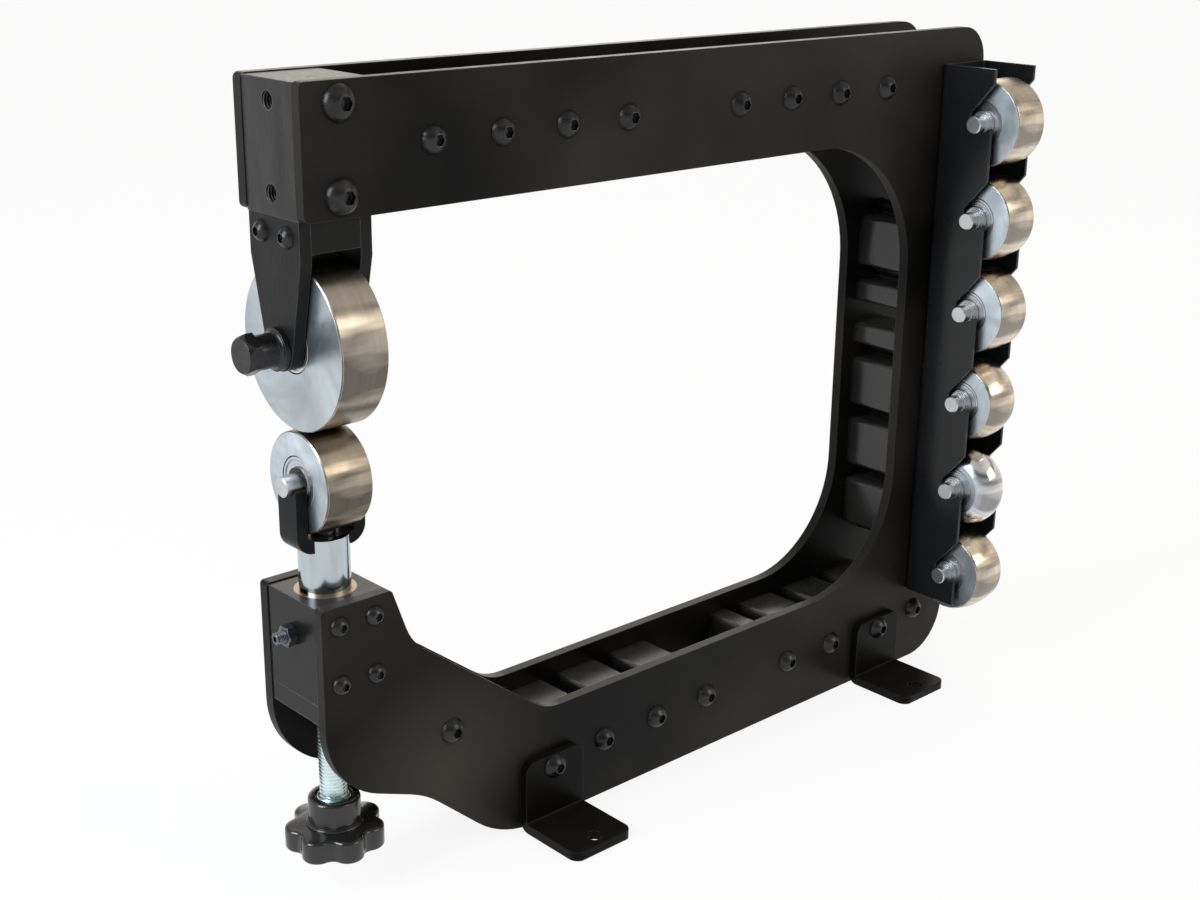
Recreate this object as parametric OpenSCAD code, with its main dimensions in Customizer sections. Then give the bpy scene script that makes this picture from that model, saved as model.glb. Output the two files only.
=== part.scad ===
// Bench english wheel: a two-plate C frame, a large upper wheel in a fork, an anvil wheel in a yoke
// on a ram that a threaded rod lifts, and a notched rack that holds six spare anvil wheels.
// +X runs from the head to the rear, +Z up. The origin is the centre of the four bench holes, on the
// bench. Lengths along X are measured from the head's front face.

/* [Frame] */
// Length of the side plates, head to rear edge
frame_l = 480; // [450:5:560]
// Height of the side plates
frame_h = 400; // [385:5:460]
// Width of the blocks and spacers between the side plates
core_w = 40; // [38:1:56]
// Thickness of a side plate
plate_t = 6; // [4:0.5:8]
// Height of the upper arm
arm_h = 60; // [54:1:66]
// Height of the lower arm behind the nose
lower_arm_h = 65; // [58:1:72]
// Width of the rear column
column_w = 60; // [54:1:66]
// Radius of the throat's upper rear corner
throat_r_top = 80; // [50:1:95]
// Radius of the throat's lower rear corner
throat_r_low = 67; // [45:1:85]
// Radius of the frame's upper rear corner
rear_r_top = 20; // [8:1:30]
// Radius of the frame's lower rear corner
rear_r_low = 30; // [12:1:36]
// Length of the head block and of the guide block
block_l = 40; // [38:1:46]
// Distance from the frame's top edge down to the nose that holds the guide block
nose_depth = 240; // [228:1:252]
// Length of the nose's steep rear edge, along X
nose_step = 11; // [8:0.5:14]
// Height of the nose's steep rear edge
nose_drop = 30.2; // [24:0.2:36]
// Distance from the head's front face to the foot of the slope behind the nose
slope_end = 136.8; // [128:0.2:146]
// Radius at both ends of the slope
slope_r = 30; // [15:1:34]
// Height of the nose's front edge above the bench, before its corner is rounded
nose_low_h = 67; // [60:1:74]
// Radius of the nose's lower front corner
nose_r = 45; // [30:1:54]
// Distance from the head's front face to the hollow under the nose
chin_x = 57.5; // [52:0.5:64]
// Height of the hollow under the nose
chin_h = 44; // [38:1:48]
// Radius of the hollow under the nose
chin_r = 60; // [30:1:90]
// Distance from the head's front face to the front of the flat underside
belly_x = 107.5; // [102:0.5:114]
// Radius at the front of the flat underside
belly_r = 60; // [30:1:80]
// How far the blocks sit behind the edges of the side plates
block_recess = 0.6; // [0.2:0.1:1.5]

/* [Ties and spacers] */
// Diameter of a tie screw
tie_d = 8; // [6:1:8]
// Distance between neighbouring tie screws of the upper arm
tie_pitch = 40; // [38:1:41]
// Distance from the head's front face to the first tie screw
tie_front = 70; // [60:1:76]
// Distance from the column to the last tie screw of the upper arm
tie_rear = 30; // [24:1:34]
// Extra distance between the two groups of tie screws in the lower arm
tie_low_break = 30; // [20:1:36]
// Distance from the upper arm to the first tie screw in the column
column_tie_high = 50; // [44:1:54]
// Distance from the lower arm to the last tie screw in the column
column_tie_low = 15; // [12:1:24]
// Extra distance between the two groups of tie screws in the column
column_tie_break = 10; // [6:1:16]
// Height of the lower row of tie screws
tie_low_z = 33; // [30:1:35]
// Thickness of the folded spacers' sheet
spacer_t = 3; // [2:0.5:4]
// Depth of a spacer's flanges behind its web
spacer_depth = 27; // [20:1:28]
// Distance from the throat's edge to the spacers' webs
spacer_recess = 11; // [8:1:13]
// Clearance round a screw in a plate
hole_gap = 0.4; // [0.2:0.1:0.6]

/* [Head and fork] */
// Diameter of the four screws of the head block
head_screw_d = 10; // [8:1:12]
// Distance from the head's top edge to its upper screws
head_screw_inset = 10; // [10:0.5:13]
// Tapping diameter of the two holes in the head's front face
front_hole_d = 8.5; // [6:0.5:9]
// Depth of those holes
front_hole_depth = 14; // [8:1:14]
// Diameter of the small screws of the fork, the guide block and the rack
small_screw_d = 6; // [5:1:6]
// Height of the carrier block under the head
carrier_h = 15; // [14:1:20]
// Thickness of a fork plate
fork_t = 6; // [5:0.5:6.5]
// Height of a fork plate's straight shoulders
fork_shoulder = 19; // [17:1:24]
// Radius of a fork plate's round end
fork_end_r = 10.5; // [9:0.5:13]
// Distance from the arm's underside to the axle
axle_drop = 60; // [58:1:66]
// Diameter of the upper wheel
wheel_d = 80; // [76:1:84]
// Width of the wheels
wheel_w = 25; // [22:0.5:26]
// Space between a wheel and the fork or yoke on each side
side_gap = 0.5; // [0.4:0.1:1]

/* [Anvils, bearings and pins] */
// Diameter of an anvil wheel
anvil_d = 50; // [46:1:51]
// Crown radius of the working anvil
working_crown = 150; // [60:5:300]
// Crown radii of the spare anvils from the top down, 0 is flat
spare_crowns = [0, 75, 150, 28, 13.5, 50]; // [0:0.5:300]
// Diameter of the anvil pins and of the axle
pin_d = 10; // [8:1:10]
// Length of an anvil pin
pin_l = 44; // [42:0.5:46]
// Outside diameter of a ball bearing
bearing_d = 26; // [24:1:28]
// Width of a ball bearing
bearing_w = 8; // [7:1:8]

/* [Ram, yoke and lead screw] */
// Diameter of the ram
ram_d = 25; // [22:1:25]
// Travel of the ram below its rest place
ram_travel = 18; // [10:1:18]
// Length of ram inside the guide block at rest
ram_engaged = 28; // [26:1:30]
// Width of the yoke's bent strip
yoke_w = 15; // [14:1:18]
// Thickness of the yoke's strip
yoke_t = 6; // [5:0.5:6.5]
// Outer radius of the yoke's bends
yoke_bend_r = 9; // [7:0.5:10]
// Height of the guide block
guide_h = 50; // [48:1:56]
// Distance from the nose's top edge to the guide block's upper screws
guide_screw_high = 10; // [9:0.5:12]
// Distance from the guide block's underside to its lower screws
guide_screw_low = 10.6; // [9:0.2:12]
// Wall of the bronze bush
bush_wall = 2.5; // [2:0.25:3]
// Thickness of the plate that holds the lead screw's thread
screw_plate_t = 10; // [8:1:12]
// Diameter of the lead screw
lead_d = 14; // [12:1:14]
// Diameter of the star knob over its lobes
knob_d = 50; // [44:1:60]
// Number of lobes on the knob
knob_lobes = 7; // [5:1:8]
// Height of the knob's lobes
knob_h = 12; // [9:1:15]
// Diameter of the knob's hub
hub_d = 27; // [24:1:30]
// Height of the knob's hub
hub_h = 15; // [10:1:17]
// Height of the knob's underside above the bench at rest
knob_clear = 21; // [20:1:24]

/* [Rack] */
// Width of the rack's channel
rack_w = 40; // [39:0.5:40]
// Depth of the rack's channel
rack_depth = 37; // [36:0.5:42]
// Thickness of the rack's sheet
rack_t = 2; // [1.5:0.25:2]
// Distance from the lower tie screws up to the rack
rack_rise = 17; // [14:1:20]
// Length of the rack
rack_l = 330; // [325:1:340]
// Distance between neighbouring notches
rack_pitch = 56; // [54.5:0.5:56]
// Slope of the notches' lower sides in degrees
notch_slope = 25; // [20:1:30]

/* [Feet] */
// Distance from the head's front face to the front feet
foot_front = 139; // [130:1:150]
// Distance from the frame's rear edge to the rear feet
foot_rear = 71; // [62:1:80]
// Width of a foot
foot_w = 40; // [36:1:44]
// Distance that a foot reaches out from the side plate
foot_leg = 45; // [42:1:60]
// Height of a foot's leg on the side plate
foot_h = 40; // [38:1:46]
// Thickness of a foot
foot_t = 5; // [4:0.5:6]
// Diameter of a bench hole
foot_hole_d = 9; // [6:0.5:11]
// Distance from a side plate to the bench holes
foot_hole_out = 36.5; // [30:0.5:37]

/* [Hidden] */
$fn = 96;

paint = [0.06, 0.055, 0.055];
blacked = [0.13, 0.13, 0.14];
mottled = [0.17, 0.16, 0.16];
steel = [0.74, 0.74, 0.73];
chromed = [0.85, 0.86, 0.88];
bronze = [0.72, 0.5, 0.32];
zinc = [0.7, 0.74, 0.75];

// fits: face_gap between pieces that are screwed together, run_gap in bearings, seat_gap under a loose pin
face_gap = 0.05;
run_gap = 0.06;
seat_gap = 0.3;
cut = 1;

foot_x = [foot_front, frame_l - foot_rear];
bench_x = (foot_x[0] + foot_x[1]) / 2;
half_w = core_w / 2;
outer_y = half_w + plate_t;
arm_z = frame_h - arm_h;
head_x = block_l / 2;
column_x = frame_l - column_w;

fork_gap = wheel_w + 2 * side_gap;
fork_half = fork_gap / 2 + fork_t;
axle_z = arm_z - axle_drop;
carrier_z = arm_z - carrier_h;
fork_screw_y = half_w / 2;
fork_screw_z = arm_z - 8;
head_screw_z = [frame_h - head_screw_inset, arm_z + head_screw_inset];
head_screw_l = 10 + plate_t;
carrier_screw_y = [-6, 6];
carrier_screw_l = 11;
carrier_head_z = carrier_z + small_screw_d + 0.5;
fork_screw_l = fork_t + 6;
axle_head_h = 6.4;
axle_nut_h = 8;
sleeve_l = 9.6;
collar_l = 4;
axle_front = head_x - fork_half - collar_l - sleeve_l;
ring_r = 0.75 * pin_d;
bearing_recess = 0.2;

nip_gap = 0.4;
pin_z = axle_z - wheel_d / 2 - nip_gap - anvil_d / 2;
yoke_top_r = yoke_w / 2;
anvil_under = 2.6;
base_z = pin_z - anvil_d / 2 - anvil_under;
yoke_foot_z = base_z - yoke_t;
yoke_half = wheel_w / 2 + side_gap + yoke_t;

nose_h = frame_h - nose_depth;
guide_z = nose_h - block_recess;
guide_low_z = guide_z - guide_h;
plate_low_z = guide_low_z - screw_plate_t;
ram_low_z = guide_z - ram_engaged;
ram_socket = 14;
set_screw_z = guide_z - 19;
set_screw_out = 9.2;
key_depth = 3;
key_gap = 0.4;
guide_screw_z = [nose_h - guide_screw_high, guide_low_z + guide_screw_low];
guide_screw_x = [10, block_l - 10];
guide_screw_l = plate_t + 6;
bush_h = 40;
plate_screw_d = 5;
plate_screw_x = [5.5, block_l - 5.5];
plate_screw_y = [-half_w + 7, half_w - 7];

knob_edge_r = 2;
lead_low_z = knob_clear + knob_h / 2;
collar_w = 1.15;
collar_step = 0.8;

// the tie screws stand in two groups on the upper arm, along the lower arm and in the column
tie_up_z = frame_h - arm_h / 2;
tie_up_x = [for (start = [tie_front, column_x - tie_rear - 3 * tie_pitch]) for (i = [0 : 3])
  start + i * tie_pitch];
column_tie_x = frame_l - column_w / 2;
tie_low_pitch = (foot_x[1] - foot_x[0] - tie_low_break) / 6;
tie_low_x = [foot_x[0] + tie_low_pitch, foot_x[0] + 2 * tie_low_pitch, foot_x[0] + 3 * tie_low_pitch,
  foot_x[1] - 2 * tie_low_pitch, foot_x[1] - tie_low_pitch, column_tie_x];
nose_tie = [74.8, lower_arm_h + 9];
column_tie_pitch = (arm_z - column_tie_high - lower_arm_h - column_tie_low - column_tie_break) / 5;
column_tie_z = [for (i = [0 : 5])
  arm_z - column_tie_high - i * column_tie_pitch - (i > 1 ? column_tie_break : 0)];
spacer_gap = tie_d + 2 * hole_gap;

rack_x = frame_l - rack_w;
rack_y = -outer_y;
rack_z = tie_low_z + rack_rise + rack_l;
rack_bend_r = 3;
rack_pin_y = rack_y - rack_t - anvil_d / 2 - 0.5;
rack_pin_x = rack_x + 3.5 + rack_t + wheel_w / 2;
rack_lip = rack_pin_y - (rack_y - rack_depth);
rack_pin_z = [for (i = [0 : 5]) rack_z - 32 - i * rack_pitch];
rack_screw_z = [for (i = [0, 2, 4]) rack_pin_z[i] - rack_pitch / 2];
corner_step = 0.01;
notch_r = pin_d / 2 + seat_gap;

foot_bend_r = 1;
foot_corner_r = 6;

// the side plates' outline, as corners [x, z, radius]
plate_corners = [[0, frame_h, 3], [frame_l, frame_h, rear_r_top], [frame_l, 0, rear_r_low],
  [belly_x, 0, belly_r], [chin_x, chin_h, chin_r], [0, nose_low_h, nose_r],
  [0, nose_h, 2], [block_l, nose_h, 2], [block_l + nose_step, nose_h - nose_drop, slope_r],
  [slope_end, lower_arm_h, slope_r], [column_x, lower_arm_h, throat_r_low],
  [column_x, arm_z, throat_r_top], [0, arm_z, 3]];

// shapes shared by the pieces

module from_head() {
  translate([-bench_x, 0, 0]) children();
}

module on_y(y) {
  translate([0, y, 0]) rotate([90, 0, 0]) children();
}

module on_x(x) {
  translate([x, 0, 0]) rotate([90, 0, 90]) children();
}

// an extrusion from x0 to x1 of a shape drawn in y and z
module slice(x0, x1) {
  on_x(x0) linear_extrude(x1 - x0) children();
}

module rod_x(x0, x1, y, z, r) {
  translate([x0, y, z]) rotate([0, 90, 0]) cylinder(h = x1 - x0, r = r);
}

module rod_y(x, z, y0, y1, r) {
  translate([x, y1, z]) rotate([90, 0, 0]) cylinder(h = y1 - y0, r = r);
}

// a disc or ring about the x axis, from a profile drawn as [radius, x]
module turned_x(x, y, z) {
  translate([x, y, z]) rotate([0, 90, 0]) rotate_extrude() children();
}

function unit(v) = v / norm(v);
function corner(c) = [c[0], c[1]];
function neighbours(corners, i) = let (n = len(corners))
  [corner(corners[(i + n - 1) % n]), corner(corners[i]), corner(corners[(i + 1) % n])];
function turn(k) = (k[1][0] - k[0][0]) * (k[2][1] - k[1][1]) - (k[1][1] - k[0][1]) * (k[2][0] - k[1][0]);
function half_angle(k) = acos(unit(k[0] - k[1]) * unit(k[2] - k[1])) / 2;
function arc_centre(k, r) = k[1] + unit(unit(k[0] - k[1]) + unit(k[2] - k[1])) * r / sin(half_angle(k));
function arc_end(k, side, r) = k[1] + unit(k[side] - k[1]) * r / tan(half_angle(k));

// the slices of circle that round an outline's outer corners (way -1) or inner corners (way 1);
// each is drawn a hair small, so that it never starts exactly on an end of a straight side
module corner_pies(corners, way) {
  for (i = [0 : len(corners) - 1]) {
    k = neighbours(corners, i);
    r = corners[i][2];
    o = arc_centre(k, r);
    if (way * turn(k) > 0) intersection() {
      translate(o) circle(r - corner_step);
      polygon([for (p = [o, arc_end(k, 0, r), k[1], arc_end(k, 2, r)]) 1.5 * p - 0.5 * o]);
    }
  }
}

// a solid of height h with round corners, listed clockwise as [x, z, radius]
module round_slab(h, corners) {
  difference() {
    union() {
      linear_extrude(h) polygon([for (i = [0 : len(corners) - 1]) for (side = [0, 2])
        arc_end(neighbours(corners, i), side, corners[i][2])]);
      linear_extrude(h) corner_pies(corners, -1);
    }
    translate([0, 0, -cut]) linear_extrude(h + 2 * cut) corner_pies(corners, 1);
  }
}

// what rounds off the upper right corner of a profile
module round_edge(r) {
  difference() {
    translate([-r, -r]) square(r + cut);
    translate([-r, -r]) circle(r);
  }
}

// fasteners stand on z = 0 with the head upwards

module hexagon(across, h) {
  cylinder(h = h, r = across / 2 / cos(30), $fn = 6);
}

module button_screw(d, length) {
  head_r = 0.875 * d;
  head_h = 0.55 * d;
  dome_h = 0.63 * d;
  dome_r = (head_r * head_r + dome_h * dome_h) / (2 * dome_h);
  difference() {
    union() {
      intersection() {
        translate([0, 0, dome_h - dome_r]) sphere(dome_r);
        cylinder(h = head_h, r = head_r + cut);
      }
      translate([0, 0, -length]) cylinder(h = length + 0.2, r = d / 2 - face_gap);
    }
    translate([0, 0, head_h - 0.3 * d]) hexagon(d / 2 + 1, d);
  }
}

module flat_screw(d, length) {
  difference() {
    union() {
      translate([0, 0, -d / 2]) cylinder(h = d / 2, r1 = d / 2 - face_gap, r2 = d - 2 * face_gap);
      translate([0, 0, -length]) cylinder(h = length - 0.1, r = d / 2 - face_gap);
    }
    translate([0, 0, -d / 4]) hexagon(d / 2 + 1, d);
  }
}

module cap_screw(d, length) {
  difference() {
    union() {
      cylinder(h = d, r = 0.83 * d);
      translate([0, 0, -length]) cylinder(h = length + 0.1, r = d / 2 - face_gap);
    }
    translate([0, 0, d / 2]) hexagon(d / 2 + 2, d);
  }
}

module nut(d, h) {
  difference() {
    hexagon(1.6 * d, h);
    translate([0, 0, -cut]) cylinder(h = h + 2 * cut, r = d / 2 + face_gap);
  }
}

module toward_near(x, z, y = -outer_y) {
  translate([x, y, z]) rotate([90, 0, 0]) children();
}

module toward_far(x, z, y = outer_y) {
  translate([x, y, z]) rotate([-90, 0, 0]) children();
}

// frame

module plate_holes(d, places) {
  for (p = places) rod_y(p[0], p[1], -outer_y - cut, outer_y + cut, d / 2 + hole_gap);
}

module side_plate(y0) {
  difference() {
    on_y(y0 + plate_t) round_slab(plate_t, plate_corners);
    plate_holes(tie_d, concat([for (x = tie_up_x) [x, tie_up_z]], [for (x = tie_low_x) [x, tie_low_z]]));
    plate_holes(tie_d, concat([for (x = foot_x) [x, tie_low_z]], [nose_tie]));
    plate_holes(tie_d, [for (z = column_tie_z) [column_tie_x, z]]);
    plate_holes(head_screw_d, [for (z = head_screw_z) [head_x, z]]);
    plate_holes(small_screw_d, [for (x = guide_screw_x) for (z = guide_screw_z) [x, z]]);
  }
}

module near_plate() {
  color(paint) from_head() difference() {
    side_plate(-outer_y);
    for (z = column_tie_z) toward_near(column_tie_x, z)
      translate([0, 0, -tie_d / 2]) cylinder(h = tie_d / 2 + 0.01, r1 = tie_d / 2, r2 = tie_d);
    for (z = rack_screw_z) rod_y(rack_x + rack_w / 2, z, -outer_y - cut, cut, small_screw_d / 2);
  }
}

module far_plate() {
  color(paint) from_head() side_plate(half_w);
}

module head_block() {
  color(mottled) from_head() difference() {
    translate([block_recess, -half_w, arm_z]) cube([block_l - block_recess, core_w, arm_h - block_recess]);
    for (z = head_screw_z) {
      rod_x(block_recess - cut, front_hole_depth, 0, z, front_hole_d / 2);
      for (side = [-1, 1]) {
        depth = head_screw_l - plate_t + 1;
        start = side < 0 ? -half_w - cut : half_w - depth;
        rod_y(head_x, z, start, start + depth + cut, head_screw_d / 2);
      }
    }
    for (y = carrier_screw_y) translate([head_x, y, arm_z - cut])
      cylinder(h = carrier_screw_l, r = small_screw_d / 2);
  }
}

// one folded spacer: web in the plane z = 0, flanges upwards, centred on x, as long as given
module spacer(length) {
  bend_r = spacer_t;
  inside = length - 2 * spacer_t;
  difference() {
    on_y(half_w) round_slab(core_w, [[-length / 2, spacer_depth, 0.5], [length / 2, spacer_depth, 0.5],
      [length / 2, 0, bend_r], [-length / 2, 0, bend_r]]);
    translate([-inside / 2, -half_w - cut, spacer_t]) cube([inside, core_w + 2 * cut, spacer_depth]);
  }
}

module spacer_between(a, b) {
  translate([(a + b) / 2, 0, 0]) spacer(b - a - spacer_gap);
}

module upper_spacers() {
  color(paint) from_head() translate([0, 0, arm_z + spacer_recess])
    for (start = [0, 4]) for (i = [start : start + 2]) spacer_between(tie_up_x[i], tie_up_x[i + 1]);
}

module column_spacers() {
  half = (column_tie_z[1] - column_tie_z[2] - spacer_gap) / 2;
  middle = (column_tie_z[1] + column_tie_z[2]) / 2;
  color(paint) from_head() translate([column_x + spacer_recess, 0, 0]) rotate([0, 90, 0]) {
    for (i = [0, 2, 3, 4]) spacer_between(-column_tie_z[i], -column_tie_z[i + 1]);
    for (side = [-1, 1]) translate([side * half * 0.66 - middle, 0, 0]) spacer(half * 0.66);
  }
}

module lower_spacers() {
  color(paint) from_head() translate([0, 0, lower_arm_h - spacer_recess]) mirror([0, 0, 1]) {
    spacer_between(foot_x[0], tie_low_x[0]);
    spacer_between(tie_low_x[0], tie_low_x[1]);
    spacer_between(tie_low_x[1], tie_low_x[2]);
    translate([tie_low_x[3] - spacer_gap / 2 - 8, 0, 0]) spacer(16);
    spacer_between(tie_low_x[3], tie_low_x[4]);
    spacer_between(tie_low_x[4], foot_x[1]);
    spacer_between(foot_x[1], tie_low_x[5]);
  }
}

module nose_spacer() {
  color(blacked) from_head() difference() {
    rod_y(nose_tie[0], nose_tie[1], -half_w, half_w, tie_d * 0.9);
    rod_y(nose_tie[0], nose_tie[1], -half_w - cut, half_w + cut, tie_d / 2 + hole_gap);
  }
}

module tie_screws() {
  reach = 2 * outer_y + tie_d;
  color(blacked) from_head() {
    for (x = tie_up_x) toward_near(x, tie_up_z) button_screw(tie_d, reach);
    for (x = tie_low_x) toward_near(x, tie_low_z) button_screw(tie_d, reach);
    for (x = foot_x) toward_near(x, tie_low_z, -outer_y - foot_t) button_screw(tie_d, reach + 2 * foot_t);
    toward_near(nose_tie[0], nose_tie[1]) button_screw(tie_d, reach);
  }
}

module column_screws() {
  color(blacked) from_head() for (z = column_tie_z)
    toward_near(column_tie_x, z) flat_screw(tie_d, 2 * outer_y + tie_d);
}

module tie_nuts() {
  h = 0.8 * tie_d;
  color(blacked) from_head() {
    for (x = tie_up_x) toward_far(x, tie_up_z) nut(tie_d, h);
    for (x = tie_low_x) toward_far(x, tie_low_z) nut(tie_d, h);
    for (x = foot_x) toward_far(x, tie_low_z, outer_y + foot_t) nut(tie_d, h);
    toward_far(nose_tie[0], nose_tie[1]) nut(tie_d, h);
    for (z = column_tie_z) toward_far(column_tie_x, z) nut(tie_d, h);
  }
}

module head_screws() {
  color(blacked) from_head() for (z = head_screw_z) {
    toward_near(head_x, z) button_screw(head_screw_d, head_screw_l);
    toward_far(head_x, z) button_screw(head_screw_d, head_screw_l);
  }
}

// feet

// a tab as wide as a foot, with round corners at its end and a root that lies outside the foot
function tab(end) = [[-foot_w / 2, end, foot_corner_r], [foot_w / 2, end, foot_corner_r],
  [foot_w / 2, -2 * cut, cut], [-foot_w / 2, -2 * cut, cut]];

// an angle bracket on the side plate, drilled for a tie screw and for a bench screw
module foot(x, side) {
  inner = outer_y;
  translate([x, 0, 0]) mirror([0, side < 0 ? 1 : 0, 0]) difference() {
    intersection() {
      on_x(-foot_w / 2) round_slab(foot_w, [[inner, foot_h, 0.5], [inner + foot_t, foot_h, 0.5],
        [inner + foot_t, foot_t, foot_bend_r], [inner + foot_leg, foot_t, 0.5],
        [inner + foot_leg, 0, 0.5], [inner, 0, foot_bend_r + foot_t]]);
      on_y(inner + foot_leg + cut) round_slab(foot_leg + 2 * cut, tab(foot_h));
      translate([0, 0, -cut]) round_slab(foot_h + 2 * cut, tab(inner + foot_leg));
    }
    rod_y(0, tie_low_z, inner - cut, inner + foot_t + cut, tie_d / 2 + hole_gap);
    translate([0, inner + foot_hole_out, -cut]) cylinder(h = foot_t + 2 * cut, d = foot_hole_d);
  }
}

module near_feet() {
  color(paint) from_head() for (x = foot_x) foot(x, -1);
}

module far_feet() {
  color(paint) from_head() for (x = foot_x) foot(x, 1);
}

// fork and upper wheel

module carrier_block() {
  color(mottled) from_head() difference() {
    translate([head_x - fork_gap / 2, -half_w, carrier_z]) cube([fork_gap, core_w, carrier_h]);
    for (y = carrier_screw_y) translate([head_x, y, carrier_z - cut]) {
      cylinder(h = carrier_h + 2 * cut, r = small_screw_d / 2 + hole_gap);
      cylinder(h = carrier_head_z - carrier_z + cut, r = 0.83 * small_screw_d + hole_gap);
    }
    depth = fork_screw_l - fork_t + 1;
    for (y = [-fork_screw_y, fork_screw_y]) {
      rod_x(head_x - fork_gap / 2 - cut, head_x - fork_gap / 2 + depth, y, fork_screw_z, small_screw_d / 2);
      rod_x(head_x + fork_gap / 2 - depth, head_x + fork_gap / 2 + cut, y, fork_screw_z, small_screw_d / 2);
    }
  }
}

module carrier_screws() {
  color(blacked) from_head() for (y = carrier_screw_y)
    translate([head_x, y, carrier_head_z]) rotate([180, 0, 0])
      cap_screw(small_screw_d, arm_z - carrier_head_z + carrier_screw_l - 2);
}

// two shoulders that taper to a round end about the axle, drawn about the axle
module fork_taper() {
  shoulder = [half_w, arm_z - fork_shoulder - axle_z];
  reach = norm(shoulder);
  lean = atan2(shoulder[1], shoulder[0]) - acos(fork_end_r / reach);
  touch = fork_end_r * [cos(lean), sin(lean)];
  polygon([[-half_w, axle_drop], [half_w, axle_drop], shoulder, touch, [-touch[0], touch[1]],
    [-shoulder[0], shoulder[1]]]);
}

module fork_plate(x) {
  difference() {
    union() {
      slice(x, x + fork_t) translate([0, axle_z]) fork_taper();
      rod_x(x, x + fork_t, 0, axle_z, fork_end_r);
    }
    rod_x(x - cut, x + fork_t + cut, 0, axle_z, pin_d / 2 + hole_gap / 2);
    for (y = [-fork_screw_y, fork_screw_y])
      rod_x(x - cut, x + fork_t + cut, y, fork_screw_z, small_screw_d / 2 + hole_gap / 2);
  }
}

module fork_plate_front() {
  color(mottled) from_head() fork_plate(head_x - fork_half);
}

module fork_plate_rear() {
  color(mottled) from_head() fork_plate(head_x + fork_gap / 2);
}

module fork_screws() {
  color(blacked) from_head() for (y = [-fork_screw_y, fork_screw_y]) {
    translate([head_x - fork_half, y, fork_screw_z]) rotate([0, -90, 0])
      button_screw(small_screw_d, fork_screw_l);
    translate([head_x + fork_half, y, fork_screw_z]) rotate([0, 90, 0])
      button_screw(small_screw_d, fork_screw_l);
  }
}

module axle_bolt() {
  color(blacked) from_head() {
    intersection() {
      translate([axle_front - axle_head_h, 0, axle_z]) rotate([0, 90, 0]) hexagon(1.7 * pin_d, axle_head_h);
      translate([axle_front - axle_head_h, 0, axle_z]) rotate([0, 90, 0])
        cylinder(h = axle_head_h, r1 = 0.8 * pin_d, r2 = 1.2 * pin_d);
    }
    rod_x(axle_front - 0.1, head_x + fork_half + axle_nut_h + 2, 0, axle_z, pin_d / 2);
  }
}

// the sleeve flares into the collar that bears on the fork plate
module axle_sleeve() {
  sleeve_r = 0.8 * pin_d;
  collar_r = pin_d;
  color(blacked) from_head() turned_x(axle_front, 0, axle_z) difference() {
    translate([pin_d / 2 + face_gap, 0]) square([collar_r - pin_d / 2 - face_gap, sleeve_l + collar_l]);
    translate([sleeve_r, -cut]) square([collar_r, sleeve_l - 1 + cut]);
    translate([sleeve_r + 2, sleeve_l - 1]) circle(2);
  }
}

module axle_nut() {
  color(blacked) from_head() translate([head_x + fork_half, 0, axle_z]) rotate([0, 90, 0])
    difference() {
      union() {
        cylinder(h = 1, r = pin_d);
        hexagon(1.7 * pin_d, axle_nut_h);
      }
      translate([0, 0, -cut]) cylinder(h = axle_nut_h + 2 * cut, r = pin_d / 2 + face_gap);
    }
}

// a ring between two radii and two stations, as a turned profile
module ring_profile(r0, r1, x0, x1) {
  translate([r0, x0]) square([r1 - r0, x1 - x0]);
}

// both inner rings and the spacing tube between them
module inner_ring_profile() {
  outer = wheel_w / 2 - bearing_recess;
  inner = outer - bearing_w;
  for (side = [-1, 1]) mirror([0, side < 0 ? 1 : 0])
    ring_profile(pin_d / 2 + run_gap / 2, ring_r, inner, outer);
  ring_profile(pin_d / 2 + run_gap / 2, ring_r - 1, -inner + face_gap, inner - face_gap);
}

// the closed bearings seen from outside: outer ring, sunk shield
module outer_ring_profile() {
  outer = wheel_w / 2 - bearing_recess;
  shield_r = ring_r + run_gap;
  race_r = bearing_d / 2 - 2;
  for (side = [-1, 1]) mirror([0, side < 0 ? 1 : 0]) {
    ring_profile(race_r, bearing_d / 2 - face_gap, outer - bearing_w, outer);
    ring_profile(shield_r, race_r + 0.1, outer - bearing_w + 0.4, outer - 0.4);
  }
}

// a wheel with a crowned rim, seats for two bearings and a shoulder between them
module wheel_profile(d, crown) {
  edge_r = crown > 0 ? d / 2 - crown + sqrt(crown * crown - wheel_w * wheel_w / 4) : d / 2;
  chamfer = crown > 0 && crown < wheel_w ? 0 : 0.6;
  lean = chamfer > 0 ? d / 2 - edge_r + chamfer + 0.2 : 0;
  flank = edge_r - chamfer;
  rim = chamfer > 0 ? flank + lean : d / 2;
  seat = wheel_w / 2 - bearing_w - bearing_recess;
  difference() {
    intersection() {
      polygon([[bearing_d / 2 - 2, -wheel_w / 2], [flank, -wheel_w / 2], [rim, -wheel_w / 2 + lean],
        [rim, wheel_w / 2 - lean], [flank, wheel_w / 2], [bearing_d / 2 - 2, wheel_w / 2]]);
      if (crown > 0) translate([d / 2 - crown, 0]) circle(crown, $fn = 360);
      translate([0, -wheel_w]) square([d / 2, 2 * wheel_w]);
    }
    for (side = [-1, 1]) mirror([0, side < 0 ? 1 : 0])
      translate([0, seat]) square([bearing_d / 2, wheel_w]);
  }
}

module wheel_inner_rings() {
  color(steel) from_head() turned_x(head_x, 0, axle_z) {
    inner_ring_profile();
    for (side = [-1, 1]) mirror([0, side < 0 ? 1 : 0])
      ring_profile(pin_d / 2 + run_gap / 2, ring_r - 0.5, wheel_w / 2 - bearing_recess + face_gap,
        wheel_w / 2 + side_gap - face_gap);
  }
}

module upper_wheel() {
  color(steel) from_head() turned_x(head_x, 0, axle_z) wheel_profile(wheel_d, 0);
}

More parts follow.
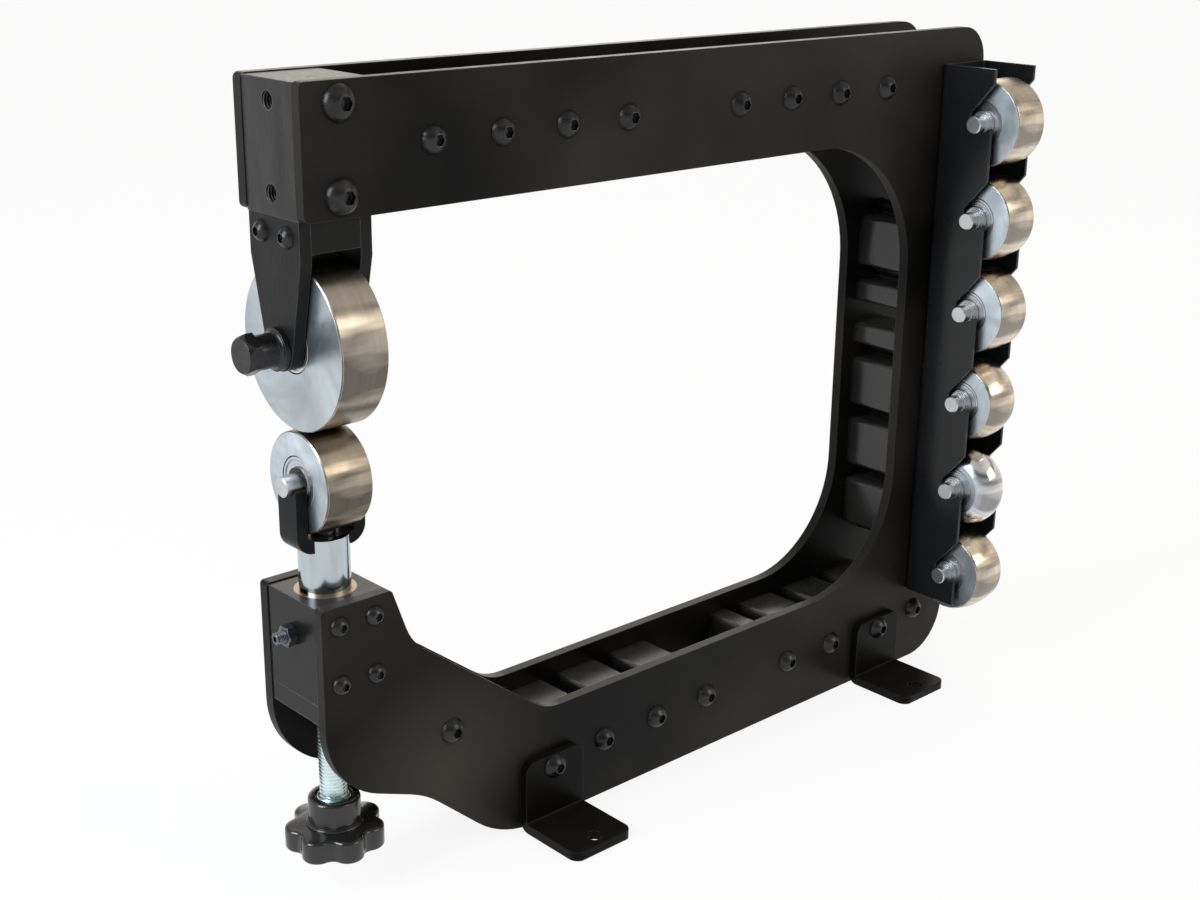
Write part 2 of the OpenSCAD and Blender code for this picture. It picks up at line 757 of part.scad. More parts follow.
module wheel_bearings() {
  color(zinc) from_head() turned_x(head_x, 0, axle_z) outer_ring_profile();
}

// guide block, ram and lead screw

module guide_block() {
  bush_seat_r = ram_d / 2 + bush_wall + face_gap;
  depth = guide_screw_l - plate_t + 0.5;
  color(paint) from_head() difference() {
    translate([block_recess, -half_w, guide_low_z]) cube([block_l - block_recess, core_w, guide_h]);
    translate([head_x, 0, guide_z - bush_h]) cylinder(h = bush_h + cut, r = bush_seat_r);
    translate([head_x, 0, guide_low_z - cut]) cylinder(h = guide_h, r = ram_d / 2 + 0.5);
    rod_x(-cut, head_x, 0, set_screw_z, small_screw_d / 2 + face_gap);
    for (x = guide_screw_x) for (z = guide_screw_z) for (side = [-1, 1])
      rod_y(x, z, side < 0 ? -half_w - cut : half_w - depth, side < 0 ? -half_w + depth : half_w + cut,
        small_screw_d / 2);
    for (x = plate_screw_x) for (y = plate_screw_y)
      translate([x, y, guide_low_z - cut]) cylinder(h = depth, r = plate_screw_d / 2);
  }
}

module guide_bush() {
  color(bronze) from_head() difference() {
    translate([head_x, 0, guide_z - bush_h]) cylinder(h = bush_h, r = ram_d / 2 + bush_wall);
    translate([head_x, 0, guide_z - bush_h - cut]) cylinder(h = bush_h + 2 * cut, r = ram_d / 2 + run_gap);
    rod_x(-cut, head_x, 0, set_screw_z, small_screw_d / 2 + face_gap);
  }
}

module guide_screws() {
  color(blacked) from_head() for (x = guide_screw_x) for (z = guide_screw_z) {
    toward_near(x, z) button_screw(small_screw_d, guide_screw_l);
    toward_far(x, z) button_screw(small_screw_d, guide_screw_l);
  }
}

module screw_plate() {
  through = screw_plate_t + 2 * cut;
  color(paint) from_head() difference() {
    translate([block_recess, -half_w, plate_low_z]) cube([block_l - block_recess, core_w, screw_plate_t]);
    translate([head_x, 0, plate_low_z - cut]) cylinder(h = through, r = lead_d / 2 + run_gap);
    for (x = plate_screw_x) for (y = plate_screw_y) translate([x, y, plate_low_z - cut])
      cylinder(h = through, r = plate_screw_d / 2 + hole_gap / 2);
  }
}

module screw_plate_screws() {
  color(blacked) from_head() for (x = plate_screw_x) for (y = plate_screw_y)
    translate([x, y, plate_low_z]) rotate([180, 0, 0]) button_screw(plate_screw_d, screw_plate_t + 5);
}

module ram_shaft() {
  key_x = head_x - ram_d / 2 + key_depth;
  screw_depth = 12;
  color(chromed) from_head() difference() {
    translate([head_x, 0, ram_low_z]) cylinder(h = base_z - ram_low_z, r = ram_d / 2);
    translate([head_x, 0, ram_low_z - cut]) cylinder(h = ram_socket + cut, r = lead_d / 2 + run_gap);
    translate([0, -yoke_w / 2 - face_gap, yoke_foot_z])
      cube([block_l, yoke_w + 2 * face_gap, yoke_t + cut]);
    translate([0, -small_screw_d / 2 - key_gap / 2, set_screw_z - small_screw_d / 2 - key_gap])
      cube([key_x, small_screw_d + key_gap, ram_travel + small_screw_d + 2 * key_gap]);
    translate([head_x, 0, yoke_foot_z - screw_depth])
      cylinder(h = screw_depth + cut, r = small_screw_d / 2);
  }
}

// a strip bent to a U; its ends are hooks, open sideways, that the anvil's pin drops into
module yoke() {
  seat_r = pin_d / 2 + seat_gap;
  inner = yoke_half - yoke_t;
  screw_hole_r = small_screw_d / 2 + hole_gap;
  color(paint) from_head() difference() {
    intersection() {
      translate([head_x, yoke_w / 2, 0]) on_y(0) round_slab(yoke_w, [[-yoke_half, pin_z + yoke_w, 1],
        [yoke_half, pin_z + yoke_w, 1], [yoke_half, yoke_foot_z, yoke_bend_r],
        [-yoke_half, yoke_foot_z, yoke_bend_r]]);
      slice(head_x - yoke_half - cut, head_x + yoke_half + cut) {
        translate([-yoke_w / 2 - cut, yoke_foot_z - cut])
          square([yoke_w + 2 * cut, pin_z - yoke_foot_z + cut]);
        translate([0, pin_z]) circle(yoke_top_r);
      }
    }
    translate([head_x, yoke_w / 2 + cut, 0]) on_y(0) round_slab(yoke_w + 2 * cut,
      [[-inner, pin_z + 2 * yoke_w, 1], [inner, pin_z + 2 * yoke_w, 1],
      [inner, base_z, yoke_bend_r - yoke_t], [-inner, base_z, yoke_bend_r - yoke_t]]);
    slice(head_x - yoke_half - cut, head_x + yoke_half + cut) translate([0, pin_z]) {
      circle(seat_r);
      translate([0, -seat_r]) square([yoke_w, seat_r + yoke_w]);
    }
    translate([head_x, 0, yoke_foot_z - cut]) cylinder(h = yoke_t + 2 * cut, r = screw_hole_r);
  }
}

module yoke_screw() {
  color(blacked) from_head() translate([head_x, 0, base_z]) difference() {
    union() {
      cylinder(h = anvil_under - 0.6, r = small_screw_d);
      translate([0, 0, -yoke_t - 10]) cylinder(h = yoke_t + 10.1, r = small_screw_d / 2 - face_gap);
    }
    translate([0, 0, 0.8]) hexagon(small_screw_d / 2 + 1, small_screw_d);
  }
}

module set_screw() {
  tip = head_x - ram_d / 2 + key_depth - key_gap;
  color(blacked) from_head() difference() {
    rod_x(-set_screw_out, tip, 0, set_screw_z, small_screw_d / 2);
    translate([-set_screw_out - cut, 0, set_screw_z]) rotate([0, 90, 0]) hexagon(3, 3);
  }
}

module lock_nut() {
  color(zinc) from_head() translate([block_recess, 0, set_screw_z]) rotate([0, -90, 0])
    nut(small_screw_d, 5);
}

module lead_screw() {
  color(zinc) from_head() translate([head_x, 0, lead_low_z])
    cylinder(h = ram_low_z + ram_socket - seat_gap - lead_low_z, r = lead_d / 2);
}

// lobes with hollows between them, tangent to each other
module knob_outline() {
  step = 180 / knob_lobes;
  lobe_r = 0.16 * knob_d;
  lobe_out = knob_d / 2 - lobe_r;
  hollow_r = 0.1 * knob_d;
  side = lobe_r + hollow_r;
  hollow_out = lobe_out * cos(step) + sqrt(side * side - pow(lobe_out * sin(step), 2));
  difference() {
    union() {
      polygon([for (i = [0 : 2 * knob_lobes - 1]) (i % 2 == 0 ? lobe_out : hollow_out)
        * [cos(i * step), sin(i * step)]]);
      for (i = [0 : knob_lobes - 1]) rotate(2 * i * step) translate([lobe_out, 0]) circle(lobe_r);
    }
    for (i = [0 : knob_lobes - 1]) rotate((2 * i + 1) * step) translate([hollow_out, 0]) circle(hollow_r);
  }
}

module star_knob() {
  bead = 1.5;
  color(paint) from_head() translate([head_x, 0, knob_clear]) difference() {
    union() {
      intersection() {
        linear_extrude(knob_h) knob_outline();
        rotate_extrude() difference() {
          square([knob_d / 2, knob_h]);
          translate([knob_d / 2, knob_h]) round_edge(knob_edge_r);
          translate([knob_d / 2, 0]) mirror([0, 1]) round_edge(knob_edge_r);
        }
      }
      translate([0, 0, knob_h - 0.1]) cylinder(h = bead + 0.1, r = hub_d / 2 + 1);
      rotate_extrude() difference() {
        translate([0, knob_h / 2]) square([hub_d / 2, hub_h + knob_h / 2]);
        translate([hub_d / 2, knob_h + hub_h]) round_edge(knob_edge_r);
      }
    }
    translate([0, 0, knob_h / 2 - face_gap]) cylinder(h = knob_h + hub_h, r = lead_d / 2 + face_gap);
  }
}

// anvils, each a wheel, two bearings and a pin

module anvil_pin_profile() {
  chamfer = 0.6;
  polygon([[0, -pin_l / 2], [pin_d / 2 - chamfer, -pin_l / 2], [pin_d / 2, -pin_l / 2 + chamfer],
    [pin_d / 2, pin_l / 2 - chamfer], [pin_d / 2 - chamfer, pin_l / 2], [0, pin_l / 2]]);
}

// the stepped collar between a bearing's inner ring and the rack
module collar_profile(length) {
  start = wheel_w / 2 - bearing_recess + face_gap;
  bore_r = pin_d / 2 + run_gap / 2;
  difference() {
    ring_profile(bore_r, ring_r - collar_step / 8, start, start + length);
    for (i = [1, 2])
      ring_profile(ring_r - i * collar_step, ring_r, start + i * collar_w, start + length + cut);
  }
}

module working_anvil() {
  color(steel) from_head() turned_x(head_x, 0, pin_z) wheel_profile(anvil_d, working_crown);
}

module working_bearings() {
  color(zinc) from_head() turned_x(head_x, 0, pin_z) outer_ring_profile();
}

module working_pin() {
  color(steel) from_head() turned_x(head_x, 0, pin_z) {
    anvil_pin_profile();
    inner_ring_profile();
  }
}

module rack_anvil(i) {
  color(steel) from_head() turned_x(rack_pin_x, rack_pin_y, rack_pin_z[i])
    wheel_profile(anvil_d, spare_crowns[i]);
}

module rack_bearings(i) {
  color(zinc) from_head() turned_x(rack_pin_x, rack_pin_y, rack_pin_z[i]) outer_ring_profile();
}

module rack_pin(i) {
  front = rack_pin_x - wheel_w / 2 - rack_x - rack_t;
  rear = rack_w - 2 * rack_t - wheel_w - front;
  color(steel) from_head() turned_x(rack_pin_x, rack_pin_y, rack_pin_z[i]) {
    anvil_pin_profile();
    inner_ring_profile();
    mirror([0, 1]) collar_profile(front);
    collar_profile(rear);
  }
}

module rack_anvil_1() rack_anvil(0);
module rack_anvil_2() rack_anvil(1);
module rack_anvil_3() rack_anvil(2);
module rack_anvil_4() rack_anvil(3);
module rack_anvil_5() rack_anvil(4);
module rack_anvil_6() rack_anvil(5);
module rack_bearings_1() rack_bearings(0);
module rack_bearings_2() rack_bearings(1);
module rack_bearings_3() rack_bearings(2);
module rack_bearings_4() rack_bearings(3);
module rack_bearings_5() rack_bearings(4);
module rack_bearings_6() rack_bearings(5);
module rack_pin_1() rack_pin(0);
module rack_pin_2() rack_pin(1);
module rack_pin_3() rack_pin(2);
module rack_pin_4() rack_pin(3);
module rack_pin_5() rack_pin(4);
module rack_pin_6() rack_pin(5);

// rack

// a slanted notch that opens outwards, drawn about its pin with the lip on the left
module notch() {
  back_h = 6;
  back_lean = 1.2;
  touch = notch_r * [-sin(notch_slope), -cos(notch_slope)];
  lip = rack_lip + cut;
  lip_drop = (lip + touch[0]) * tan(notch_slope);
  circle(notch_r);
  polygon([[notch_r, 0], [notch_r, back_h], [-lip, back_h + back_lean * (lip + notch_r)],
    [-lip, touch[1] + lip_drop], touch, [0, 0]]);
}

module rack_channel() {
  lip_y = rack_y - rack_depth;
  inner_r = rack_bend_r - rack_t;
  color(paint) from_head() difference() {
    translate([0, 0, rack_z - rack_l]) round_slab(rack_l, [[rack_x, rack_y, rack_bend_r],
      [frame_l, rack_y, rack_bend_r], [frame_l, lip_y, 0.3], [rack_x, lip_y, 0.3]]);
    translate([0, 0, rack_z - rack_l - cut]) round_slab(rack_l + 2 * cut,
      [[rack_x + rack_t, rack_y - rack_t, inner_r], [frame_l - rack_t, rack_y - rack_t, inner_r],
      [frame_l - rack_t, lip_y - cut, 0.3], [rack_x + rack_t, lip_y - cut, 0.3]]);
    for (z = rack_pin_z) slice(rack_x - cut, frame_l + cut) translate([rack_pin_y, z]) notch();
    for (z = rack_screw_z) rod_y(rack_x + rack_w / 2, z, rack_y - rack_t - cut, rack_y + cut,
      small_screw_d / 2 + hole_gap / 2);
  }
}

module rack_screws() {
  color(blacked) from_head() for (z = rack_screw_z)
    toward_near(rack_x + rack_w / 2, z, rack_y - rack_t)
      button_screw(small_screw_d, rack_t + plate_t);
}

near_plate();
far_plate();
head_block();
upper_spacers();
column_spacers();
lower_spacers();
nose_spacer();
guide_block();
guide_bush();
screw_plate();
screw_plate_screws();
head_screws();
guide_screws();
tie_screws();
column_screws();
tie_nuts();
near_feet();
far_feet();
carrier_block();
carrier_screws();
fork_plate_front();
fork_plate_rear();
fork_screws();
axle_bolt();
axle_sleeve();
axle_nut();
wheel_inner_rings();
upper_wheel();
wheel_bearings();
ram_shaft();
yoke();
yoke_screw();
set_screw();
lock_nut();
lead_screw();
star_knob();
working_anvil();
working_bearings();
working_pin();
rack_channel();
rack_screws();
rack_anvil_1();
rack_bearings_1();
rack_pin_1();
rack_anvil_2();
rack_bearings_2();
rack_pin_2();
rack_anvil_3();
rack_bearings_3();
rack_pin_3();
rack_anvil_4();
rack_bearings_4();
rack_pin_4();
rack_anvil_5();
rack_bearings_5();
rack_pin_5();
rack_anvil_6();
rack_bearings_6();
rack_pin_6();
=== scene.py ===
# A bench english wheel: finishes, finer pieces (knob, threads, nuts, bearings, yoke), camera and studio.
import bpy
import bmesh
import math
from mathutils import Matrix, Vector


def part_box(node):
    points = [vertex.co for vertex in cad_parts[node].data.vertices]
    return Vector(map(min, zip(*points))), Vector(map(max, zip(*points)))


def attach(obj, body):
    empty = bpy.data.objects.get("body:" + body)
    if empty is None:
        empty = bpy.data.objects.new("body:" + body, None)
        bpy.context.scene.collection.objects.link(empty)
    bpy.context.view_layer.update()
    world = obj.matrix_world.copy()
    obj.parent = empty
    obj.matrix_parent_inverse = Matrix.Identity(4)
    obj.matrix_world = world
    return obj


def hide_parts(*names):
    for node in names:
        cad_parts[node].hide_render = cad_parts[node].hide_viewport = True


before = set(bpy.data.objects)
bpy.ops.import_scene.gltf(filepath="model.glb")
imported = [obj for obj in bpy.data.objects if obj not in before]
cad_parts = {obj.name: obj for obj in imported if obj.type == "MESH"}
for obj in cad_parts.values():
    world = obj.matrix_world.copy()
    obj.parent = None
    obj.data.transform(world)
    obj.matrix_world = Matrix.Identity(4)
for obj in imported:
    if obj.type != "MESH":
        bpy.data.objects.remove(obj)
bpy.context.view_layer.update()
mm = 0.001
print("frame loaded", len(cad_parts), "nodes")


# node helpers

def join(tree, value, socket):
    tree.links.new(value, socket)


def fill(tree, node, sockets):
    # another node's output is linked, and anything else becomes the socket's own value
    for key, value in sockets.items():
        if isinstance(value, bpy.types.NodeSocket):
            join(tree, value, node.inputs[key])
        else:
            node.inputs[key].default_value = value


def put(tree, kind, sockets=None, **settings):
    node = tree.nodes.new("ShaderNode" + kind)
    for key, value in settings.items():
        setattr(node, key, value)
    fill(tree, node, sockets or {})
    return node


def sums(tree, operation, a, b, clamp=False):
    return put(tree, "Math", {0: a, 1: b}, operation=operation, use_clamp=clamp).outputs[0]


def spread(tree, value, low, high, newLow=0.0, newHigh=1.0):
    return put(tree, "MapRange", {"Value": value, "From Min": low, "From Max": high, "To Min": newLow,
                                  "To Max": newHigh}).outputs[0]


def mixColour(tree, factor, a, b):
    return put(tree, "Mix", {0: factor, 6: a, 7: b}, data_type="RGBA").outputs[2]


def cover(tree, mask, share, under, over):
    # one colour over another where a mask says, by no more than a share
    return mixColour(tree, sums(tree, "MULTIPLY", mask, share), under, over)


def fillRamp(ramp, stops):
    # grey levels by place along the ramp
    ramp.elements[0].position, ramp.elements[1].position = stops[0][0], stops[-1][0]
    for spot, _ in stops[1:-1]:
        ramp.elements.new(spot)
    for element, (_, level) in zip(ramp.elements, stops):
        element.color = (level, level, level, 1)


def whiteRays(tree):
    # the rays that see a white background: the camera's, and those off gloss and through glass
    ray = put(tree, "LightPath").outputs
    return sums(tree, "MAXIMUM", ray["Is Camera Ray"],
                sums(tree, "MAXIMUM", ray["Is Glossy Ray"], ray["Is Transmission Ray"]))


def startGroup(name, inputs, outputs):
    tree = bpy.data.node_groups.new(name, "ShaderNodeTree")
    for label, kind, value in inputs:
        socket = tree.interface.new_socket(label, in_out="INPUT", socket_type="NodeSocket" + kind)
        socket.default_value = value
    for label, kind in outputs:
        tree.interface.new_socket(label, in_out="OUTPUT", socket_type="NodeSocket" + kind)
    return tree, tree.nodes.new("NodeGroupInput").outputs, tree.nodes.new("NodeGroupOutput").inputs


def useGroup(tree, group, sockets):
    node = tree.nodes.new("ShaderNodeGroup")
    node.node_tree = group
    fill(tree, node, sockets)
    return node.outputs


# effects that several finishes share

def makeSmudges():
    # broad cloudy marks and fine grain, both from 0 to 1
    tree, given, out = startGroup("smudges", [("Scale", "Float", 18.0), ("Stretch", "Vector", (1, 1, 1))],
                                  [("Broad", "Float"), ("Fine", "Float")])
    place = put(tree, "TexCoord").outputs["Object"]
    pulled = put(tree, "VectorMath", {0: place, 1: given["Stretch"]}, operation="MULTIPLY").outputs[0]
    broad = put(tree, "TexNoise", {"Vector": pulled, "Scale": given["Scale"], "Detail": 5.0,
                                   "Roughness": 0.55, "Distortion": 0.6}).outputs[0]
    join(tree, spread(tree, broad, 0.32, 0.68), out["Broad"])
    finer = sums(tree, "MULTIPLY", given["Scale"], 14.0)
    fine = put(tree, "TexNoise", {"Vector": pulled, "Scale": finer, "Detail": 6.0,
                                  "Roughness": 0.65}).outputs[0]
    join(tree, spread(tree, fine, 0.3, 0.7), out["Fine"])
    return tree


def makeSoftEdge():
    # rounds the shading at sharp edges, and gives a patchy mask of those edges, which the finishes lighten
    # partly as wear and partly as a painted edge highlight
    tree, given, out = startGroup("softEdge", [("Radius", "Float", 0.0006), ("Patches", "Float", 60.0)],
                                  [("Normal", "Vector"), ("Edge", "Float")])
    rounded = put(tree, "Bevel", {"Radius": given["Radius"]}, samples=6).outputs[0]
    flat = put(tree, "NewGeometry").outputs["Normal"]
    along = put(tree, "VectorMath", {0: rounded, 1: flat}, operation="DOT_PRODUCT").outputs["Value"]
    edge = spread(tree, along, 0.998, 0.90)
    place = put(tree, "TexCoord").outputs["Object"]
    patches = put(tree, "TexNoise", {"Vector": place, "Scale": given["Patches"], "Detail": 4.0,
                                     "Roughness": 0.6}).outputs[0]
    edgeWearAndHighlight = sums(tree, "MULTIPLY", edge, spread(tree, patches, 0.35, 0.65, 0.35, 1.0))
    join(tree, rounded, out["Normal"])
    join(tree, edgeWearAndHighlight, out["Edge"])
    return tree


def makeTurning():
    # the rings that a lathe leaves about an axle that runs along X, bands that run along the rim as painted
    # reflections, and a mask of the two flat sides
    tree, given, out = startGroup("turning", [("Axle", "Vector", (0, 0, 0)), ("Lines", "Float", 900.0)],
                                  [("Rings", "Float"), ("Bands", "Float"), ("Streaks", "Float"),
                                   ("Side", "Float")])
    coordinates = put(tree, "TexCoord").outputs
    local = put(tree, "VectorMath", {0: coordinates["Object"], 1: given["Axle"]},
                operation="SUBTRACT").outputs[0]
    part = put(tree, "SeparateXYZ", {0: local}).outputs
    across = put(tree, "CombineXYZ", {"Y": part["Y"], "Z": part["Z"]}).outputs[0]
    radius = put(tree, "VectorMath", {0: across}, operation="LENGTH").outputs["Value"]
    # along the section, so that the rings cross both the sides and the rim
    travel = sums(tree, "ADD", radius, sums(tree, "MULTIPLY", part["X"], 1.7))
    fine = put(tree, "TexNoise", {"W": travel, "Scale": given["Lines"], "Detail": 3.0, "Roughness": 0.6},
               noise_dimensions="1D").outputs[0]
    broad = put(tree, "TexNoise", {"W": travel, "Scale": 160.0, "Detail": 3.0, "Roughness": 0.5},
                noise_dimensions="1D").outputs[0]
    outward = put(tree, "VectorMath", {0: across}, operation="NORMALIZE").outputs[0]
    sideways = put(tree, "CombineXYZ", {"X": sums(tree, "MULTIPLY", part["X"], 6.0)}).outputs[0]
    around = put(tree, "VectorMath", {0: outward, 1: sideways}, operation="ADD").outputs[0]
    reflectionBands = put(tree, "TexNoise", {"Vector": around, "Scale": 2.3, "Detail": 3.0,
                                     "Roughness": 0.5}).outputs[0]
    facing = put(tree, "SeparateXYZ", {0: coordinates["Normal"]}).outputs["X"]
    side = put(tree, "Math", {0: facing}, operation="ABSOLUTE").outputs[0]
    join(tree, spread(tree, fine, 0.3, 0.7), out["Rings"])
    join(tree, spread(tree, broad, 0.3, 0.7), out["Bands"])
    join(tree, spread(tree, reflectionBands, 0.42, 0.58), out["Streaks"])
    join(tree, spread(tree, side, 0.75, 0.98), out["Side"])
    return tree


def makeSheenAndDust():
    # painted sheen: a mask round one place and in broad clouds elsewhere, where a lighter colour stands in
    # for a reflection; and dust that settles on faces turned up
    tree, given, out = startGroup("sheenAndDust", [("Centre", "Vector", (0, 0, 0)), ("Reach", "Float", 0.15)],
                                  [("PaintedSheen", "Float"), ("Settled", "Float")])
    coordinates = put(tree, "TexCoord").outputs
    away = put(tree, "VectorMath", {0: coordinates["Object"], 1: given["Centre"]}, operation="DISTANCE")
    share = sums(tree, "DIVIDE", away.outputs["Value"], given["Reach"])
    near = sums(tree, "SUBTRACT", 1.0, share, clamp=True)
    clouds = put(tree, "TexNoise", {"Vector": coordinates["Object"], "Scale": 6.0, "Detail": 3.0,
                                    "Roughness": 0.5}).outputs[0]
    join(tree, sums(tree, "MAXIMUM", near, spread(tree, clouds, 0.42, 0.72, 0.0, 0.6)), out["PaintedSheen"])
    upward = put(tree, "SeparateXYZ", {0: coordinates["Normal"]}).outputs["Z"]
    specks = put(tree, "TexNoise", {"Vector": coordinates["Object"], "Scale": 90.0, "Detail": 5.0,
                                    "Roughness": 0.6}).outputs[0]
    speckled = spread(tree, specks, 0.3, 0.6, 0.5, 1.0)
    join(tree, sums(tree, "MULTIPLY", spread(tree, upward, 0.7, 0.98), speckled), out["Settled"])
    return tree


smudges = makeSmudges()
softEdge = makeSoftEdge()
sheenAndDust = makeSheenAndDust()
turning = makeTurning()
print("effects ready")


# finishes

grainHeight = 0.0002  # metres, the relief of paint and of ground steel
ringHeight = 0.0001  # metres, the relief of turned and of chromed steel
glossGrain = 0.03  # how far the fine grain moves the gloss of paint
acrossRings = 0.25  # a quarter turn, since highlights lie across the rings of a lathe


def startFinish(name, **plain):
    finish = bpy.data.materials.new(name)
    finish.use_nodes = True
    tree = finish.node_tree
    shader = tree.nodes["Principled BSDF"]
    for key, value in plain.items():
        shader.inputs[key.replace("_", " ")].default_value = value
    return finish, tree, shader.inputs


def bump(tree, height, strength, distance, normal=None):
    sockets = {"Height": height, "Strength": strength, "Distance": distance}
    if normal is not None:
        sockets["Normal"] = normal
    return put(tree, "Bump", sockets).outputs[0]


def makePaint(name, look):
    # satin paint with a faint orange peel, cloudy gloss, a painted sheen that stands in for a reflection,
    # settled dust, and edges lightened partly as wear and partly as a painted highlight
    finish, tree, shader = startFinish(name, Specular_IOR_Level=look["gloss"])
    marks = useGroup(tree, smudges, {"Scale": look["cloud"], "Stretch": look.get("stretch", (1, 1, 1))})
    edge = useGroup(tree, softEdge, {"Radius": look["edge"]})
    paintedSheen = useGroup(tree, sheenAndDust, {"Centre": look["sheenCentre"], "Reach": look["sheenReach"]})
    clean = mixColour(tree, marks["Broad"], look["dark"], look["light"])
    # painted sheen: a lighter brown-grey laid over the paint round one place and in clouds, standing in for a
    # reflection of the floor
    withSheen = cover(tree, paintedSheen["PaintedSheen"], look["paintedSheen"], clean, look["sheenColour"])
    dusty = cover(tree, paintedSheen["Settled"], look["settled"], withSheen, look["dust"])
    # edges lightened, partly as paint rubbed bare and partly as a painted edge highlight
    join(tree, cover(tree, edge["Edge"], look["wearAndHighlight"], dusty, look["edgeColour"]), shader["Base Color"])
    dull = spread(tree, marks["Broad"], 0.0, 1.0, *look["rough"])
    grain = spread(tree, marks["Fine"], 0.0, 1.0, -glossGrain, glossGrain)
    join(tree, sums(tree, "ADD", dull, grain), shader["Roughness"])
    join(tree, bump(tree, marks["Fine"], look["peel"], grainHeight, edge["Normal"]), shader["Normal"])
    return finish


def makeBareSteel(name, look):
    # ground, blacked or plated metal with clouds, grain and bright edges
    finish, tree, shader = startFinish(name, Metallic=look["metal"],
                                       Specular_IOR_Level=look.get("gloss", 0.5))
    marks = useGroup(tree, smudges, {"Scale": look["cloud"], "Stretch": look.get("stretch", (1, 1, 1))})
    body = mixColour(tree, marks["Broad"], look["dark"], look["light"])
    grained = cover(tree, marks["Fine"], look["grain"], body, look["grainColour"])
    settled = useGroup(tree, sheenAndDust, {})["Settled"]
    dusty = cover(tree, settled, look["settled"], grained, look["dust"])
    normal = None
    if look["edge"]:
        edge = useGroup(tree, softEdge, {"Radius": look["edge"]})
        normal = edge["Normal"]
        # edges lightened, partly as rubbed metal and partly as a painted edge highlight
        dusty = cover(tree, edge["Edge"], look["wearAndHighlight"], dusty, look["edgeColour"])
    join(tree, dusty, shader["Base Color"])
    join(tree, spread(tree, marks["Fine"], 0.0, 1.0, *look["rough"]), shader["Roughness"])
    join(tree, bump(tree, marks["Fine"], look["relief"], grainHeight, normal), shader["Normal"])
    return finish


def makeTurned(name, look, axle):
    # a wheel off the lathe: cool flat sides and a warmer rim, both tints painted reflections, fine rings,
    # bands along the rim that are painted reflections, and edges painted bright as a highlight
    finish, tree, shader = startFinish(name, Metallic=1.0, Anisotropic=look["aniso"],
                                       Anisotropic_Rotation=acrossRings)
    marks = useGroup(tree, smudges, {"Scale": look["cloud"]})
    rings = useGroup(tree, turning, {"Axle": axle, "Lines": look["lines"]})
    edge = useGroup(tree, softEdge, {"Radius": look["edge"]})
    side = mixColour(tree, marks["Broad"], look["sideDark"], look["side"])
    # rim colour between dark and light by bands along the rim: painted reflections
    rim = mixColour(tree, rings["Streaks"], look["rimDark"], look["rim"])
    ringed = cover(tree, rings["Bands"], look["ring"], rim, look["rimLine"])
    # sides cool and rim warm: one steel tinted by facing, as painted reflections of a window and a warm room
    both = mixColour(tree, rings["Side"], ringed, side)
    # edges painted bright: a painted highlight along the wheel's chamfers
    join(tree, mixColour(tree, edge["Edge"], both, look["bright"]), shader["Base Color"])
    sideRough = spread(tree, marks["Fine"], 0.0, 1.0, *look["sideRough"])
    rimRough = spread(tree, marks["Broad"], 0.0, 1.0, *look["rimRough"])
    rough = put(tree, "Mix", {0: rings["Side"], 2: rimRough, 3: sideRough}).outputs[0]
    join(tree, rough, shader["Roughness"])
    join(tree, bump(tree, rings["Rings"], look["relief"], ringHeight, edge["Normal"]), shader["Normal"])
    join(tree, put(tree, "Tangent", direction_type="RADIAL", axis="X").outputs[0], shader["Tangent"])
    return finish


def makeChrome(name, look):
    # hard chrome on a ground rod: mirror-like, with darker bands drawn out along its length that are painted
    # reflections
    finish, tree, shader = startFinish(name, Metallic=1.0)
    marks = useGroup(tree, smudges, {"Scale": look["cloud"], "Stretch": look["stretch"]})
    # darker bands drawn out along the rod: painted reflection bands
    body = cover(tree, marks["Broad"], look["darkBandShare"], look["colour"], look["darkBand"])
    join(tree, body, shader["Base Color"])
    join(tree, spread(tree, marks["Fine"], 0.0, 1.0, *look["rough"]), shader["Roughness"])
    edge = useGroup(tree, softEdge, {"Radius": look["edge"]})
    join(tree, bump(tree, marks["Fine"], look["relief"], ringHeight, edge["Normal"]), shader["Normal"])
    return finish


plateLook = {"dark": (0.0024, 0.0022, 0.0021, 1), "light": (0.0052, 0.0047, 0.0043, 1), "cloud": 7.0,
             "rough": (0.26, 0.46), "gloss": 0.10, "edge": 0.0007, "wearAndHighlight": 0.5,
             "edgeColour": (0.070, 0.064, 0.060, 1), "peel": 0.10, "paintedSheen": 0.7,
             # where the plates' painted sheen is strongest, how far it reaches, and its colour
             "sheenCentre": (-0.205, -0.028, 0.050), "sheenReach": 0.075,
             "sheenColour": (0.060, 0.053, 0.045, 1),
             "settled": 0.5, "dust": (0.050, 0.046, 0.042, 1)}
rackLook = {**plateLook, "dark": (0.0045, 0.0045, 0.005, 1), "light": (0.008, 0.008, 0.009, 1),
            "rough": (0.20, 0.34), "gloss": 0.3, "edge": 0.0004, "wearAndHighlight": 0.8, "paintedSheen": 0.4,
            # the rack's painted sheen, lighter towards one place
            "sheenCentre": (0.195, -0.06, 0.21), "sheenReach": 0.09,
            "sheenColour": (0.030, 0.030, 0.031, 1), "edgeColour": (0.10, 0.10, 0.102, 1)}
yokeLook = {**rackLook, "gloss": 0.07, "sheenReach": 0.001, "paintedSheen": 0.15,
            "edgeColour": (0.05, 0.05, 0.05, 1)}
footLook = {**plateLook, "dark": (0.0024, 0.0022, 0.0020, 1), "light": (0.0045, 0.0040, 0.0037, 1),
            "paintedSheen": 0.05, "gloss": 0.08, "settled": 0.12}
